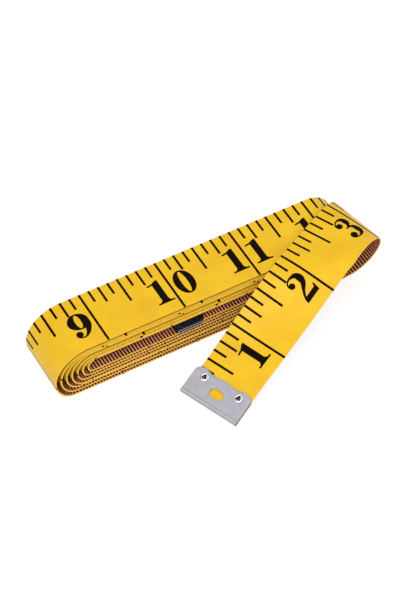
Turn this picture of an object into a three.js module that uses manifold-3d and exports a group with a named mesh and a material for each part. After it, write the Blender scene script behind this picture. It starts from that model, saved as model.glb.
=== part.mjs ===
// Cloth tape measure: a coated tape wound flat on itself, its free end folded back over the bundle.
// Sizes are in millimetres. The bundle lies along X with its underside on z = 0, and +Z is up.
import * as THREE from "three";
import { mergeVertices } from "three/addons/utils/BufferGeometryUtils.js";
import Module from "manifold-3d";

// Tape
const TAPE_WIDTH = 19;
const TAPE_THICKNESS = 0.45;

// Bundle: turns wound flat, looser in some places than in others, with a nose at each end. Gaps between
// turns are counted from the outside, and reaches and heights of the left noses are shares of a turn's height.
const TOP_GAPS = [1.1, 0.3, 0.12, 1.3, 0.6, 0.12];
const BOTTOM_GAPS = [1.13, 0.95, 0.12, 0.95, 0.86, 0.86];
const EYE_HEIGHT = 4.5;
const LEFT_TIP_X = -49.65;
const LEFT_TIP_HEIGHT = 0.43;
const LEFT_LOWER_REACH = 0.33;
const LEFT_UPPER_REACH = 0.62;
const LEFT_TUCK = 1.8;
const RIGHT_NOSE_X = 45.5;
const RIGHT_NOSE_STRETCH = 1;
const RIGHT_TUCK = 1.256;
const INNER_END_X = -9.3;
const NOSE_STEPS = 16;

// Loop and tail: the outer turn folds over the right end along a skewed line and comes back on top
const LOOP_X = 47.35;
const FOLD_SKEW = THREE.MathUtils.degToRad(13.1);
const LOOP_BENDS = 7;
const BEND_STEPS = 3;
const BEND_GAP = 0.3;
const TAIL_RISE = 1;
const TAIL_CLEARANCE = 0.2;
const TAIL_LENGTH = 103;
const CROWN_RADIUS = 20;
const CROWN_SKEW = THREE.MathUtils.degToRad(-40.2);
const CROWN_STEPS = 8;
const TAIL_TWIST = THREE.MathUtils.degToRad(15.3);
const TWIST_START = 44;
const TWIST_REST = 1;
const TWIST_STEPS = 8;
const TABLE_CLEARANCE = 0.1;

// Ferrule: sheet metal folded round each end of the tape
const SHEET = 0.3;
const FIT = 0.1;
const FERRULE_OVERHANG = 0.6;
const START_FERRULE_SHIFT = 0.5;
const SIDE_LENGTH = 7.7;
const LOBE_LENGTH = 9.8;
const VALLEY_LENGTH = 9.1;
const BUMP_LENGTH = 9.55;
const VALLEY_OFFSET = 3.6;
const SLOT_LENGTH = 4.7;
const SLOT_WIDTH = 2.8;
const SLOT_INSET = 4.8;
const FOLD_STEPS = 8;

// Tubular rivets through ferrule and tape
const RIVET_EDGE = 3.9;
const RIVET_INSET = 7.3;
const RIVET_RADIUS = 0.9;
const RIVET_BORE = 0.5;
const FLANGE_RADIUS = 1.25;
const FLANGE = 0.25;
const FLANGE_EDGE = 0.1;
const ROUND_STEPS = 20;
const SEAT = 0.15;

// Sizes that follow from those above
const HALF_WIDTH = TAPE_WIDTH / 2;
const HALF_THICKNESS = TAPE_THICKNESS / 2;
const TURN_COUNT = TOP_GAPS.length + 1;
const BUNDLE_HEIGHT = EYE_HEIGHT + stackHeight(TOP_GAPS) + stackHeight(BOTTOM_GAPS);
const FERRULE_WIDTH = TAPE_WIDTH + 2 * FERRULE_OVERHANG;
const FERRULE_HALF = HALF_THICKNESS + FIT + SHEET;
const RIVET_SPAN = FERRULE_WIDTH - 2 * RIVET_EDGE;
const RIVET_HALF = FERRULE_HALF + FIT + FLANGE;
const TAPE_SETBACK = SHEET + FIT;
const LOOP_RADIUS = (BUNDLE_HEIGHT + TAIL_RISE) / 2;
const LOOP_LENGTH = LOOP_RADIUS * Math.PI;
const BEND_LENGTH = LOOP_LENGTH / LOOP_BENDS;
const FOLD_COS = Math.cos(FOLD_SKEW);
const FOLD_SIN = Math.sin(FOLD_SKEW);
const CROWN_COS = Math.cos(CROWN_SKEW);
const CROWN_SIN = Math.sin(CROWN_SKEW);
const TWIST_END = LOBE_LENGTH + TWIST_REST;
const CROWN_START = crownStart();
const CROWN_ANGLE = crownAngle();

const wasm = await Module();
wasm.setup();

// A closed geometry as a solid that can be joined and cut.
function toSolid(geometry) {
  const bare = geometry.clone();
  bare.deleteAttribute("normal");
  bare.deleteAttribute("uv");
  const merged = mergeVertices(bare, 1e-4);
  return new wasm.Manifold(
    new wasm.Mesh({
      numProp: 3,
      vertProperties: new Float32Array(merged.attributes.position.array),
      triVerts: new Uint32Array(merged.index.array),
    }),
  );
}

// A solid back as a geometry.
function toGeometry(solid) {
  const mesh = solid.getMesh();
  const geometry = new THREE.BufferGeometry();
  geometry.setAttribute("position", new THREE.BufferAttribute(mesh.vertProperties, mesh.numProp));
  geometry.setIndex(new THREE.BufferAttribute(mesh.triVerts, 1));
  geometry.computeVertexNormals();
  return geometry;
}

// Height of the turns that have these gaps between them.
function stackHeight(gaps) {
  return gaps.reduce((height, gap) => height + gap + TAPE_THICKNESS, TAPE_THICKNESS);
}

// How far along the tape the loop ends, at a place across it.
function loopEnd(across) {
  return (LOOP_LENGTH - across * FOLD_SIN) / FOLD_COS;
}

// The distance square to the crown's lines at which the tail starts to dip: past the loop, and early
// enough for its back edge to clear the bundle's front edge by TAIL_CLEARANCE.
function crownStart() {
  const crossing =
    (HALF_WIDTH * Math.cos(2 * FOLD_SKEW) + LOOP_LENGTH * FOLD_SIN + HALF_WIDTH) / Math.sin(2 * FOLD_SKEW);
  const lead = Math.sqrt(2 * CROWN_RADIUS * (TAIL_RISE - TAIL_CLEARANCE));
  const earliest = [-HALF_WIDTH, HALF_WIDTH].map(
    (across) => loopEnd(across) * CROWN_COS + across * CROWN_SIN,
  );
  return Math.max(...earliest, crossing * CROWN_COS + HALF_WIDTH * CROWN_SIN - lead);
}

// The dip angle that brings the ferrule's lowest corner down to the table.
function crownAngle() {
  const lowest = (angle) => {
    const heights = [-1, 1].map((side) => {
      const across = START_FERRULE_SHIFT + (side * FERRULE_WIDTH) / 2;
      const { point, normal } = tailPoint(TAIL_LENGTH, across, angle);
      return point.z - FERRULE_HALF * normal.z;
    });
    return Math.min(...heights);
  };
  let low = 0;
  let high = Math.PI / 3;
  while (high - low > 1e-9) {
    const middle = (low + high) / 2;
    if (lowest(middle) > TABLE_CLEARANCE) low = middle;
    else high = middle;
  }
  return low;
}

// A point of the unrolled tape, along it from the loop's foot and across it, laid on the loop.
function loopPoint(along, across) {
  const distance = along * FOLD_COS + across * FOLD_SIN;
  const aside = along * FOLD_SIN - across * FOLD_COS;
  const turn = Math.min(Math.max(distance, 0), LOOP_LENGTH) / LOOP_RADIUS;
  const run = Math.min(distance, 0) + LOOP_RADIUS * Math.sin(turn);
  return {
    point: new THREE.Vector3(
      LOOP_X + run * FOLD_COS + aside * FOLD_SIN,
      run * FOLD_SIN - aside * FOLD_COS,
      HALF_THICKNESS + LOOP_RADIUS * (1 - Math.cos(turn)),
    ),
    normal: new THREE.Vector3(Math.sin(turn) * FOLD_COS, Math.sin(turn) * FOLD_SIN, -Math.cos(turn)),
  };
}

// The same for the tail before it twists: level at the top of the loop, then dipped over the crown.
function dippedPoint(along, across, angle) {
  const distance = along * CROWN_COS + across * CROWN_SIN;
  const aside = along * CROWN_SIN - across * CROWN_COS;
  const turn = Math.min(Math.max(distance - CROWN_START, 0) / CROWN_RADIUS, angle);
  const rest = Math.max(distance - CROWN_START - CROWN_RADIUS * angle, 0);
  const run = Math.min(distance, CROWN_START) + CROWN_RADIUS * Math.sin(turn) + rest * Math.cos(angle);
  const dip = CROWN_RADIUS * (1 - Math.cos(turn)) + rest * Math.sin(angle);
  const heading = Math.PI + 2 * FOLD_SKEW - CROWN_SKEW;
  return {
    point: new THREE.Vector3(
      LOOP_X + LOOP_LENGTH * FOLD_COS + run * Math.cos(heading) - aside * Math.sin(heading),
      LOOP_LENGTH * FOLD_SIN + run * Math.sin(heading) + aside * Math.cos(heading),
      HALF_THICKNESS + 2 * LOOP_RADIUS - dip,
    ),
    normal: new THREE.Vector3(
      Math.sin(turn) * Math.cos(heading),
      Math.sin(turn) * Math.sin(heading),
      Math.cos(turn),
    ),
  };
}

// The tail as it lies, twisted about its middle line so that its tip comes down nearly level.
function tailPoint(along, across, angle = CROWN_ANGLE) {
  const step = 0.01;
  const middle = dippedPoint(along, 0, angle).point;
  const axis = dippedPoint(along + step, 0, angle).point.sub(middle).normalize();
  const twist = TAIL_TWIST * (1 - THREE.MathUtils.smoothstep(TAIL_LENGTH - along, TWIST_END, TWIST_START));
  const { point, normal } = dippedPoint(along, across, angle);
  return {
    point: point.sub(middle).applyAxisAngle(axis, twist).add(middle),
    normal: normal.applyAxisAngle(axis, twist),
  };
}

// Straight lines across loop or tail from one distance to another, all at the same skew.
function skewRows(place, skew, from, to, steps) {
  return Array.from({ length: steps + 1 }, (_, i) => {
    const distance = from + ((to - from) * i) / steps;
    return [-HALF_WIDTH, HALF_WIDTH].map((across) =>
      place((distance - across * Math.sin(skew)) / Math.cos(skew), across),
    );
  });
}

function loopRows(from, to) {
  return skewRows(loopPoint, FOLD_SKEW, from, to, BEND_STEPS);
}

// Heights of the tape's middle on the bottom and top runs, counted from the outside.
function bottomZ(turn) {
  const seat = TAPE_THICKNESS + FIT + SHEET + FIT + FLANGE + SEAT;
  if (turn < TURN_COUNT) return stackHeight(BOTTOM_GAPS.slice(0, turn)) - HALF_THICKNESS;
  return bottomZ(TURN_COUNT - 1) + seat;
}

function topZ(turn) {
  return BUNDLE_HEIGHT + HALF_THICKNESS - stackHeight(TOP_GAPS.slice(0, turn));
}

// A nose of the side view: two quarter ellipses that meet at its tip, each given as the height and the
// distance from the tip at which it starts.
function nose(side, tip, [fromZ, fromReach], [toZ, toReach]) {
  return Array.from({ length: NOSE_STEPS + 1 }, (_, i) => {
    const angle = (Math.PI * i) / NOSE_STEPS;
    const [endZ, reach] = i < NOSE_STEPS / 2 ? [fromZ, fromReach] : [toZ, toReach];
    const rise = Math.abs(endZ - tip.y) * Math.sign(toZ - fromZ);
    const along = new THREE.Vector2(side * reach * Math.cos(angle), rise * Math.sin(angle)).normalize();
    return { x: tip.x - side * reach * (1 - Math.sin(angle)), z: tip.y - rise * Math.cos(angle), along };
  });
}

function leftNose(turn) {
  const [low, high] = [bottomZ(turn), topZ(turn)];
  const height = high - low;
  const tip = new THREE.Vector2(LEFT_TIP_X + turn * LEFT_TUCK, low + LEFT_TIP_HEIGHT * height);
  return nose(-1, tip, [low, LEFT_LOWER_REACH * height], [high, LEFT_UPPER_REACH * height]);
}

function rightNose(turn) {
  const [high, low] = [topZ(turn), bottomZ(turn + 1)];
  const reach = (RIGHT_NOSE_STRETCH * (high - low)) / 2;
  const tip = new THREE.Vector2(RIGHT_NOSE_X - turn * RIGHT_TUCK + reach, (high + low) / 2);
  return nose(1, tip, [high, reach], [low, reach]);
}

// Side view of the bundle, from the loop's foot to the tape's inner end.
function bundleRoute() {
  const route = [{ x: LOOP_X, z: bottomZ(0), along: new THREE.Vector2(-1, 0) }];
  for (let turn = 0; turn < TURN_COUNT; turn++) {
    route.push(...leftNose(turn), ...rightNose(turn));
  }
  route.push({
    x: INNER_END_X + TAPE_SETBACK,
    z: bottomZ(TURN_COUNT),
    along: new THREE.Vector2(-1, 0),
  });
  return route;
}

// A station of the side view as a row square across the tape.
function squareRow({ x, z, along }) {
  return [-HALF_WIDTH, HALF_WIDTH].map((y) => ({
    point: new THREE.Vector3(x, y, z),
    normal: new THREE.Vector3(-along.y, 0, along.x),
  }));
}

// A closed strip of tape through rows of front and back edge points.
function tapeStrip(rows) {
  const corners = [];
  for (const [front, back] of rows) {
    for (const [edge, side] of [[front, 1], [back, 1], [back, -1], [front, -1]]) {
      corners.push(...edge.point.clone().addScaledVector(edge.normal, side * HALF_THICKNESS));
    }
  }
  const faces = [0, 1, 2, 0, 2, 3];
  for (let row = 0; row < rows.length - 1; row++) {
    for (let corner = 0; corner < 4; corner++) {
      const a = row * 4 + corner;
      const b = row * 4 + ((corner + 1) % 4);
      faces.push(a, a + 4, b, b, a + 4, b + 4);
    }
  }
  const last = (rows.length - 1) * 4;
  faces.push(last, last + 2, last + 1, last, last + 3, last + 2);
  const geometry = new THREE.BufferGeometry();
  geometry.setAttribute("position", new THREE.BufferAttribute(new Float32Array(corners), 3));
  geometry.setIndex(faces);
  geometry.computeVertexNormals();
  return geometry;
}

// A plate of an outline in the plane of a ferrule, thick enough to cut right through it.
function through(shape) {
  const depth = 4 * RIVET_HALF;
  const curveSegments = ROUND_STEPS / 2;
  const plate = new THREE.ExtrudeGeometry(shape, { depth, curveSegments, bevelEnabled: false });
  return plate.translate(0, 0, -depth / 2);
}

function rivetPlaces() {
  return [-1, 1].map((side) => new THREE.Vector2(RIVET_INSET, (side * RIVET_SPAN) / 2));
}

// Solids of the rivet holes, as they lie in a ferrule's own frame.
function rivetHoles() {
  return rivetPlaces().map((place) => {
    const circle = new THREE.Shape().absarc(place.x, place.y, RIVET_RADIUS + FIT, 0, 2 * Math.PI);
    return toSolid(through(circle));
  });
}

// Plan outline of a ferrule: square at the fold, two lobes and a low bump at the open edge.
function ferruleOutline() {
  const half = FERRULE_WIDTH / 2;
  const lobe = (half + VALLEY_OFFSET) / 2;
  const outline = new THREE.Shape();
  outline.moveTo(0, -half);
  outline.lineTo(SIDE_LENGTH, -half);
  outline.quadraticCurveTo(LOBE_LENGTH, -half, LOBE_LENGTH, -lobe);
  outline.splineThru([
    new THREE.Vector2(VALLEY_LENGTH, -VALLEY_OFFSET),
    new THREE.Vector2(BUMP_LENGTH, 0),
    new THREE.Vector2(VALLEY_LENGTH, VALLEY_OFFSET),
    new THREE.Vector2(LOBE_LENGTH, lobe),
  ]);
  outline.quadraticCurveTo(LOBE_LENGTH, half, SIDE_LENGTH, half);
  outline.lineTo(0, half);
  outline.closePath();
  return outline;
}

// Oval window in the middle of a ferrule.
function slotOutline() {
  const radius = SLOT_WIDTH / 2;
  const offset = SLOT_LENGTH / 2 - radius;
  const slot = new THREE.Shape();
  slot.absarc(SLOT_INSET, offset, radius, 0, Math.PI);
  slot.absarc(SLOT_INSET, -offset, radius, Math.PI, 2 * Math.PI);
  slot.closePath();
  return slot;
}

// The folded sheet in its own frame: X into the tape from the fold, Y across, Z out of the printed face.
function ferruleGeometry() {
  const inner = FERRULE_HALF - SHEET;
  const open = LOBE_LENGTH + SHEET;
  const fold = new THREE.Shape();
  fold.moveTo(open, FERRULE_HALF);
  fold.absarc(FERRULE_HALF, 0, FERRULE_HALF, Math.PI / 2, (3 * Math.PI) / 2);
  fold.lineTo(open, -FERRULE_HALF);
  fold.lineTo(open, -inner);
  fold.absarc(FERRULE_HALF, 0, inner, (3 * Math.PI) / 2, Math.PI / 2, true);
  fold.lineTo(open, inner);
  fold.closePath();
  const sheet = new THREE.ExtrudeGeometry(fold, {
    depth: FERRULE_WIDTH,
    bevelEnabled: false,
    curveSegments: FOLD_STEPS,
  });
  sheet.rotateX(Math.PI / 2).translate(0, FERRULE_WIDTH / 2, 0);
  let solid = toSolid(sheet).intersect(toSolid(through(ferruleOutline())));
  solid = solid.subtract(toSolid(through(slotOutline())));
  for (const hole of rivetHoles()) solid = solid.subtract(hole);
  return toGeometry(solid);
}

// A tubular rivet with a flange on each side, its axis along Z.
function rivetGeometry() {
  const seat = FERRULE_HALF + FIT;
  const upper = [
    [FLANGE_RADIUS, seat],
    [FLANGE_RADIUS, RIVET_HALF - FLANGE_EDGE],
    [FLANGE_RADIUS - FLANGE_EDGE, RIVET_HALF],
    [RIVET_BORE, RIVET_HALF],
  ];
  const lower = upper.map(([radius, height]) => [radius, -height]).reverse();
  const profile = [...lower, [RIVET_RADIUS, -seat], [RIVET_RADIUS, seat], ...upper, lower[0]];
  const points = profile.map(([radius, height]) => new THREE.Vector2(radius, height));
  return new THREE.LatheGeometry(points, ROUND_STEPS).rotateX(Math.PI / 2);
}

// The place of a ferrule: X along the tape from its end, Z out of its face.
function endFrame(end, along, normal) {
  const across = new THREE.Vector3().crossVectors(normal, along).normalize();
  return new THREE.Matrix4().makeBasis(along, across, normal).setPosition(end);
}

function tailFrame() {
  const end = tailPoint(TAIL_LENGTH, START_FERRULE_SHIFT);
  const along = tailPoint(TAIL_LENGTH - 1, START_FERRULE_SHIFT).point.sub(end.point).normalize();
  return endFrame(end.point, along, end.normal);
}

function innerFrame() {
  const end = new THREE.Vector3(INNER_END_X, 0, bottomZ(TURN_COUNT));
  return endFrame(end, new THREE.Vector3(1, 0, 0), new THREE.Vector3(0, 0, 1));
}

// A strip of tape with a ferrule's rivet holes through it.
function pierced(strip, frame) {
  let solid = toSolid(strip);
  for (const hole of rivetHoles()) solid = solid.subtract(hole.transform(frame.elements));
  return toGeometry(solid);
}

// Distances along the loop where it bends, one line for each bend.
function bendAt(bend) {
  return (bend + 0.5) * BEND_LENGTH;
}

function bundleGeometry() {
  const foot = loopRows(bendAt(0) - BEND_GAP / 2, 0);
  const turns = bundleRoute().slice(1).map(squareRow);
  return pierced(tapeStrip([...foot, ...turns]), innerFrame());
}

function loopGeometry(link) {
  return tapeStrip(loopRows(bendAt(link) - BEND_GAP / 2, bendAt(link - 1) + BEND_GAP / 2));
}

function tailGeometry() {
  const crownEnd = CROWN_START + CROWN_RADIUS * CROWN_ANGLE;
  const edges = [-HALF_WIDTH, HALF_WIDTH];
  const tip = edges.map((across) => tailPoint(TAIL_LENGTH - TAPE_SETBACK, across));
  const twist = Array.from({ length: TWIST_STEPS }, (_, i) =>
    edges.map((across) => {
      const crownFoot = (crownEnd - across * CROWN_SIN) / CROWN_COS;
      return tailPoint(THREE.MathUtils.lerp(TAIL_LENGTH - TWIST_END, crownFoot, i / TWIST_STEPS), across);
    }),
  );
  const rows = [
    tip,
    ...twist,
    ...skewRows(tailPoint, CROWN_SKEW, crownEnd, CROWN_START, CROWN_STEPS),
    ...loopRows(LOOP_LENGTH, bendAt(LOOP_BENDS - 1) + BEND_GAP / 2),
  ];
  return pierced(tapeStrip(rows), tailFrame());
}

// Length of the tape's middle, and the least gap between its turns measured from points to stretches.
function measureWinding() {
  const route = bundleRoute().map(({ x, z }) => new THREE.Vector2(x, z));
  const lengths = [0];
  route.slice(1).forEach((point, i) => lengths.push(lengths[i] + point.distanceTo(route[i])));
  let nearest = Infinity;
  route.forEach((point, i) => {
    for (let j = 0; j < route.length - 1; j++) {
      const apart = Math.min(Math.abs(lengths[j] - lengths[i]), Math.abs(lengths[j + 1] - lengths[i]));
      const stretch = route[j + 1].clone().sub(route[j]);
      if (apart < BUNDLE_HEIGHT / 3 || stretch.length() === 0) continue;
      const share = point.clone().sub(route[j]).dot(stretch) / stretch.lengthSq();
      const foot = route[j].clone().addScaledVector(stretch, Math.min(Math.max(share, 0), 1));
      nearest = Math.min(nearest, foot.distanceTo(point));
    }
  });
  return { length: lengths.at(-1) + TAIL_LENGTH + TAPE_SETBACK, gap: nearest - TAPE_THICKNESS };
}

const tapeFinish = { color: 0xf6c11c, roughness: 0.5, metalness: 0 };
const ferruleFinish = { color: 0xbdbcc4, roughness: 0.35, metalness: 1 };
const rivetFinish = { color: 0xdcdce0, roughness: 0.2, metalness: 1 };

function piece(name, geometry, finish) {
  const mesh = new THREE.Mesh(geometry, new THREE.MeshStandardMaterial(finish));
  mesh.name = name;
  return mesh;
}

// A ferrule with its two rivets, on one end of the tape.
function ferruleSet(prefix, frame) {
  const group = new THREE.Group();
  group.add(piece(prefix + "_ferrule", ferruleGeometry(), ferruleFinish));
  rivetPlaces().forEach((place, i) => {
    const rivet = piece(prefix + ["_rivet_front", "_rivet_back"][i], rivetGeometry(), rivetFinish);
    rivet.position.set(place.x, place.y, 0);
    group.add(rivet);
  });
  group.applyMatrix4(frame);
  return group;
}

const tapeMeasure = new THREE.Group();
tapeMeasure.add(piece("tape_bundle", bundleGeometry(), tapeFinish));
for (let link = 1; link < LOOP_BENDS; link++) {
  tapeMeasure.add(piece("tape_loop_" + link, loopGeometry(link), tapeFinish));
}
tapeMeasure.add(piece("tape_tail", tailGeometry(), tapeFinish));
tapeMeasure.add(ferruleSet("start", tailFrame()));
tapeMeasure.add(ferruleSet("end", innerFrame()));

const winding = measureWinding();
console.log("least gap between turns", winding.gap.toFixed(3), "mm");
console.log("tape length from end to end", winding.length.toFixed(1), "mm");

export default tapeMeasure;
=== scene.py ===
"""Cloth tape measure: a printed yellow tape wound flat, its free end folded back over the bundle."""
import math
from collections import namedtuple

import bmesh
import bpy
from bpy.props import FloatProperty, FloatVectorProperty, IntProperty, PointerProperty
from mathutils import Matrix, Vector
from mathutils.geometry import delaunay_2d_cdt


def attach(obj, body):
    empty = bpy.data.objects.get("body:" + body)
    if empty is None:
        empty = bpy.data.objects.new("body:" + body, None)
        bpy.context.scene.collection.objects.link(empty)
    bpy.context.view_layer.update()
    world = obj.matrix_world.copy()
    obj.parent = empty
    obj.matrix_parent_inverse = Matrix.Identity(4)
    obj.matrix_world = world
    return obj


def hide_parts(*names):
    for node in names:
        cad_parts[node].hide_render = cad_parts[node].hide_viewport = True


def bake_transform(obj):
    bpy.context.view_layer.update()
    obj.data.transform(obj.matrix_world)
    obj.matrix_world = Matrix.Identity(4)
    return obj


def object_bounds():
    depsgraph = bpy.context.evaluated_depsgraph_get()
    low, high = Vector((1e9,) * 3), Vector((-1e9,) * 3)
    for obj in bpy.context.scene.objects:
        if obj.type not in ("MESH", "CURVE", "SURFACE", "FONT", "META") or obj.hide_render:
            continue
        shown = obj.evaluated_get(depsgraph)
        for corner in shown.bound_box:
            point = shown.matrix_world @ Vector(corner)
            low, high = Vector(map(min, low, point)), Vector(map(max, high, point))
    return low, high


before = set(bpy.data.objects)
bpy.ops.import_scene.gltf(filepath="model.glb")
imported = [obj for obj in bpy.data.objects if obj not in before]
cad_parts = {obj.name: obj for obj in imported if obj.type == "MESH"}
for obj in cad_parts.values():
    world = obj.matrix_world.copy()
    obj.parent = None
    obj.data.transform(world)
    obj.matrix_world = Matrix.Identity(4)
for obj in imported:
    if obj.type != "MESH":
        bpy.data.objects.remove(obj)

bl_info = {
    "name": "Cloth Tape Measure",
    "version": (1, 0, 0),
    "blender": (4, 5, 0),
    "location": "3D View > Sidebar > Tape Measure",
    "description": "Builds a printed cloth tape measure, wound flat with its free end folded back",
    "category": "Add Mesh",
}

CAD_BOX = [list(corner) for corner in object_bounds()]
INCH = 0.0254
CENTIMETRE = 0.01
MILLIMETRE = 0.001
EIGHTHS = 8
TOP_GAPS = (0.0011, 0.0003, 0.00012, 0.0013, 0.0006, 0.00012)
BOTTOM_GAPS = (0.00113, 0.00095, 0.00012, 0.00095, 0.00086, 0.00086)
LOOP_TAPE = "loop_tape_{}"
LOOP_PRINT = "loop_print_{}"

# How finely the tape is cut along its bends, and across its twisted tail.
LOOP_STEPS = 14
TAIL_STEPS = 28
NOSE_STEPS = 48
TAIL_COLUMNS = 8

# The search for the tail's dip, the probe for its heading and the gap that parts the print at each bend.
STEEPEST_DIP = math.pi / 3
DIP_TOLERANCE = 1e-9
TWIST_PROBE = 0.00001
CUT_INSET = 0.000002


def length(name, description, default):
    return FloatProperty(name=name, description=description, default=default, unit="LENGTH", precision=5)


def gaps(name, description, default):
    return FloatVectorProperty(
        name=name, description=description, default=default, size=len(default), unit="LENGTH", precision=5
    )


def factor(name, description, default):
    return FloatProperty(name=name, description=description, default=default, subtype="FACTOR")


def angle(name, description, degrees):
    return FloatProperty(name=name, description=description, default=math.radians(degrees), subtype="ANGLE")


def colour(name, description, default):
    return FloatVectorProperty(
        name=name, description=description, default=default, subtype="COLOR", size=4, min=0, max=1
    )


class TapeSizes(bpy.types.PropertyGroup):
    """Sizes of the tape and of the way it lies."""

    width: length("Width", "Width of the tape", 0.019)
    thickness: length("Thickness", "Thickness of the coated tape", 0.00045)
    edge: length("Edge", "Chamfer along the cut edges", 0.00006)
    top_gaps: gaps("Top Gaps", "Gaps between the turns above the eye, from the outside", TOP_GAPS)
    bottom_gaps: gaps("Bottom Gaps", "Gaps between the turns below the eye, from the outside", BOTTOM_GAPS)
    eye_height: length("Eye Height", "Height of the opening inside the bundle", 0.0045)
    left_tip_x: length("Left Tip", "Where the outer turn ends at the left", -0.04965)
    left_tip_height: factor("Left Tip Height", "Height of a left tip as a share of its turn's height", 0.43)
    left_lower: factor("Left Lower Reach", "Reach of a left bend below its tip against its turn's height", 0.33)
    left_upper: factor("Left Upper Reach", "Reach of a left bend above its tip against its turn's height", 0.62)
    left_tuck: length("Left Tuck", "How much further in each inner turn ends at the left", 0.0018)
    right_nose_x: length("Right Nose", "Where the outer turn starts to bend at the right", 0.0455)
    right_stretch: factor("Right Stretch", "Reach of the right bends against their height", 1.0)
    right_tuck: length("Right Tuck", "How much further in each inner turn bends at the right", 0.001256)
    inner_end_x: length("Inner End", "Where the inner end of the tape lies", -0.0093)
    seat: length("Inner Seat", "Height of the inner end above the turn under it", 0.00135)
    loop_x: length("Loop Foot", "Where the loop leaves the bottom run", 0.04735)
    fold_skew: angle("Fold Skew", "Angle of the loop's fold against the tape", 13.1)
    bend_count: IntProperty(name="Bends", description="Number of bends that the loop can open at", default=7)
    tail_rise: length("Tail Rise", "Height of the tail above the bundle", 0.001)
    tail_clearance: length("Tail Clearance", "Least gap between tail and bundle", 0.0002)
    tail_length: length("Tail Length", "Length from the loop's foot to the outer end", 0.103)
    crown_radius: length("Crown Radius", "Radius of the bend that dips the tail", 0.02)
    crown_skew: angle("Crown Skew", "Angle of that bend against the tape", -40.2)
    tail_twist: angle("Tail Twist", "Twist that brings the outer end down nearly level", 15.3)
    twist_start: length("Twist Start", "Distance from the outer end at which the twist starts", 0.044)
    twist_rest: length("Twist Rest", "Untwisted length beside the metal end", 0.001)
    table_clearance: length("Table Clearance", "Gap between the outer end and the table", 0.0001)


class MetalSizes(bpy.types.PropertyGroup):
    """Sizes of the folded metal ends and their rivets."""

    sheet: length("Sheet", "Thickness of the sheet metal", 0.0003)
    fit: length("Fit", "Gap between metal and tape", 0.0001)
    overhang: length("Overhang", "How far the metal stands past each edge of the tape", 0.0006)
    shift: length("Shift", "How far the outer metal sits towards the ruled edge", 0.0005)
    side: length("Side", "Straight length of the two sides", 0.0077)
    lobe: length("Lobe", "Length at the two lobes", 0.0098)
    valley: length("Valley", "Length at the two valleys", 0.0091)
    bump: length("Bump", "Length at the middle", 0.00955)
    valley_offset: length("Valley Offset", "Distance of a valley from the middle", 0.0036)
    bead: length("Bead", "How far the folded edge swells past the plates", 0.00013)
    bead_length: length("Bead Length", "Length of the swollen edge", 0.0015)
    slot_length: length("Slot Length", "Length of the oval window", 0.0047)
    slot_width: length("Slot Width", "Width of the oval window", 0.0028)
    slot_inset: length("Slot Inset", "Distance of the window from the folded edge", 0.0048)
    rivet_edge: length("Rivet Edge", "Distance of a rivet from the side", 0.0039)
    rivet_inset: length("Rivet Inset", "Distance of the rivets from the folded edge", 0.0073)
    rivet_radius: length("Rivet Radius", "Radius of a rivet's shank", 0.0009)
    rivet_bore: length("Rivet Bore", "Radius of a rivet's hollow", 0.0007)
    flange_radius: length("Flange Radius", "Radius of a rivet's rolled rim", 0.0013)
    flange: length("Flange", "Height of a rivet's rolled rim", 0.00032)


class PrintSizes(bpy.types.PropertyGroup):
    """Sizes of the printed scales."""

    ink: length("Ink", "Height of the ink above the tape", 0.00002)
    line_width: length("Line Width", "Width of an inch line", 0.00075)
    eighth: length("Eighth", "Length of an eighth-inch line", 0.0046)
    quarter: length("Quarter", "Length of a quarter-inch line", 0.0062)
    half: length("Half", "Length of a half-inch line", 0.0094)
    numeral: length("Numeral", "Height of an inch numeral", 0.0092)
    numeral_inset: length("Numeral Inset", "Distance of a numeral from the ruled edge", 0.006)
    single_gap: length("Single Gap", "Gap from a single numeral to its line", 0.0015)
    before_gap: length("Before Gap", "Gap from the first of two numerals to the line", 0.0009)
    after_gap: length("After Gap", "Gap from the line to the second of two numerals", 0.0014)
    fine_width: length("Fine Width", "Width of a millimetre line", 0.0005)
    fine: length("Fine", "Length of a millimetre line", 0.0085)
    fine_five: length("Fine Five", "Length of a five-millimetre line", 0.0095)
    fine_ten: length("Fine Ten", "Length of a centimetre line", 0.0115)
    fine_inset: length("Fine Inset", "Distance of the millimetre lines from the edge", 0.00006)
    small: length("Small Numeral", "Height of a centimetre numeral", 0.0042)
    small_inset: length("Small Inset", "Distance of a small numeral from the ruled edge", 0.0128)


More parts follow.
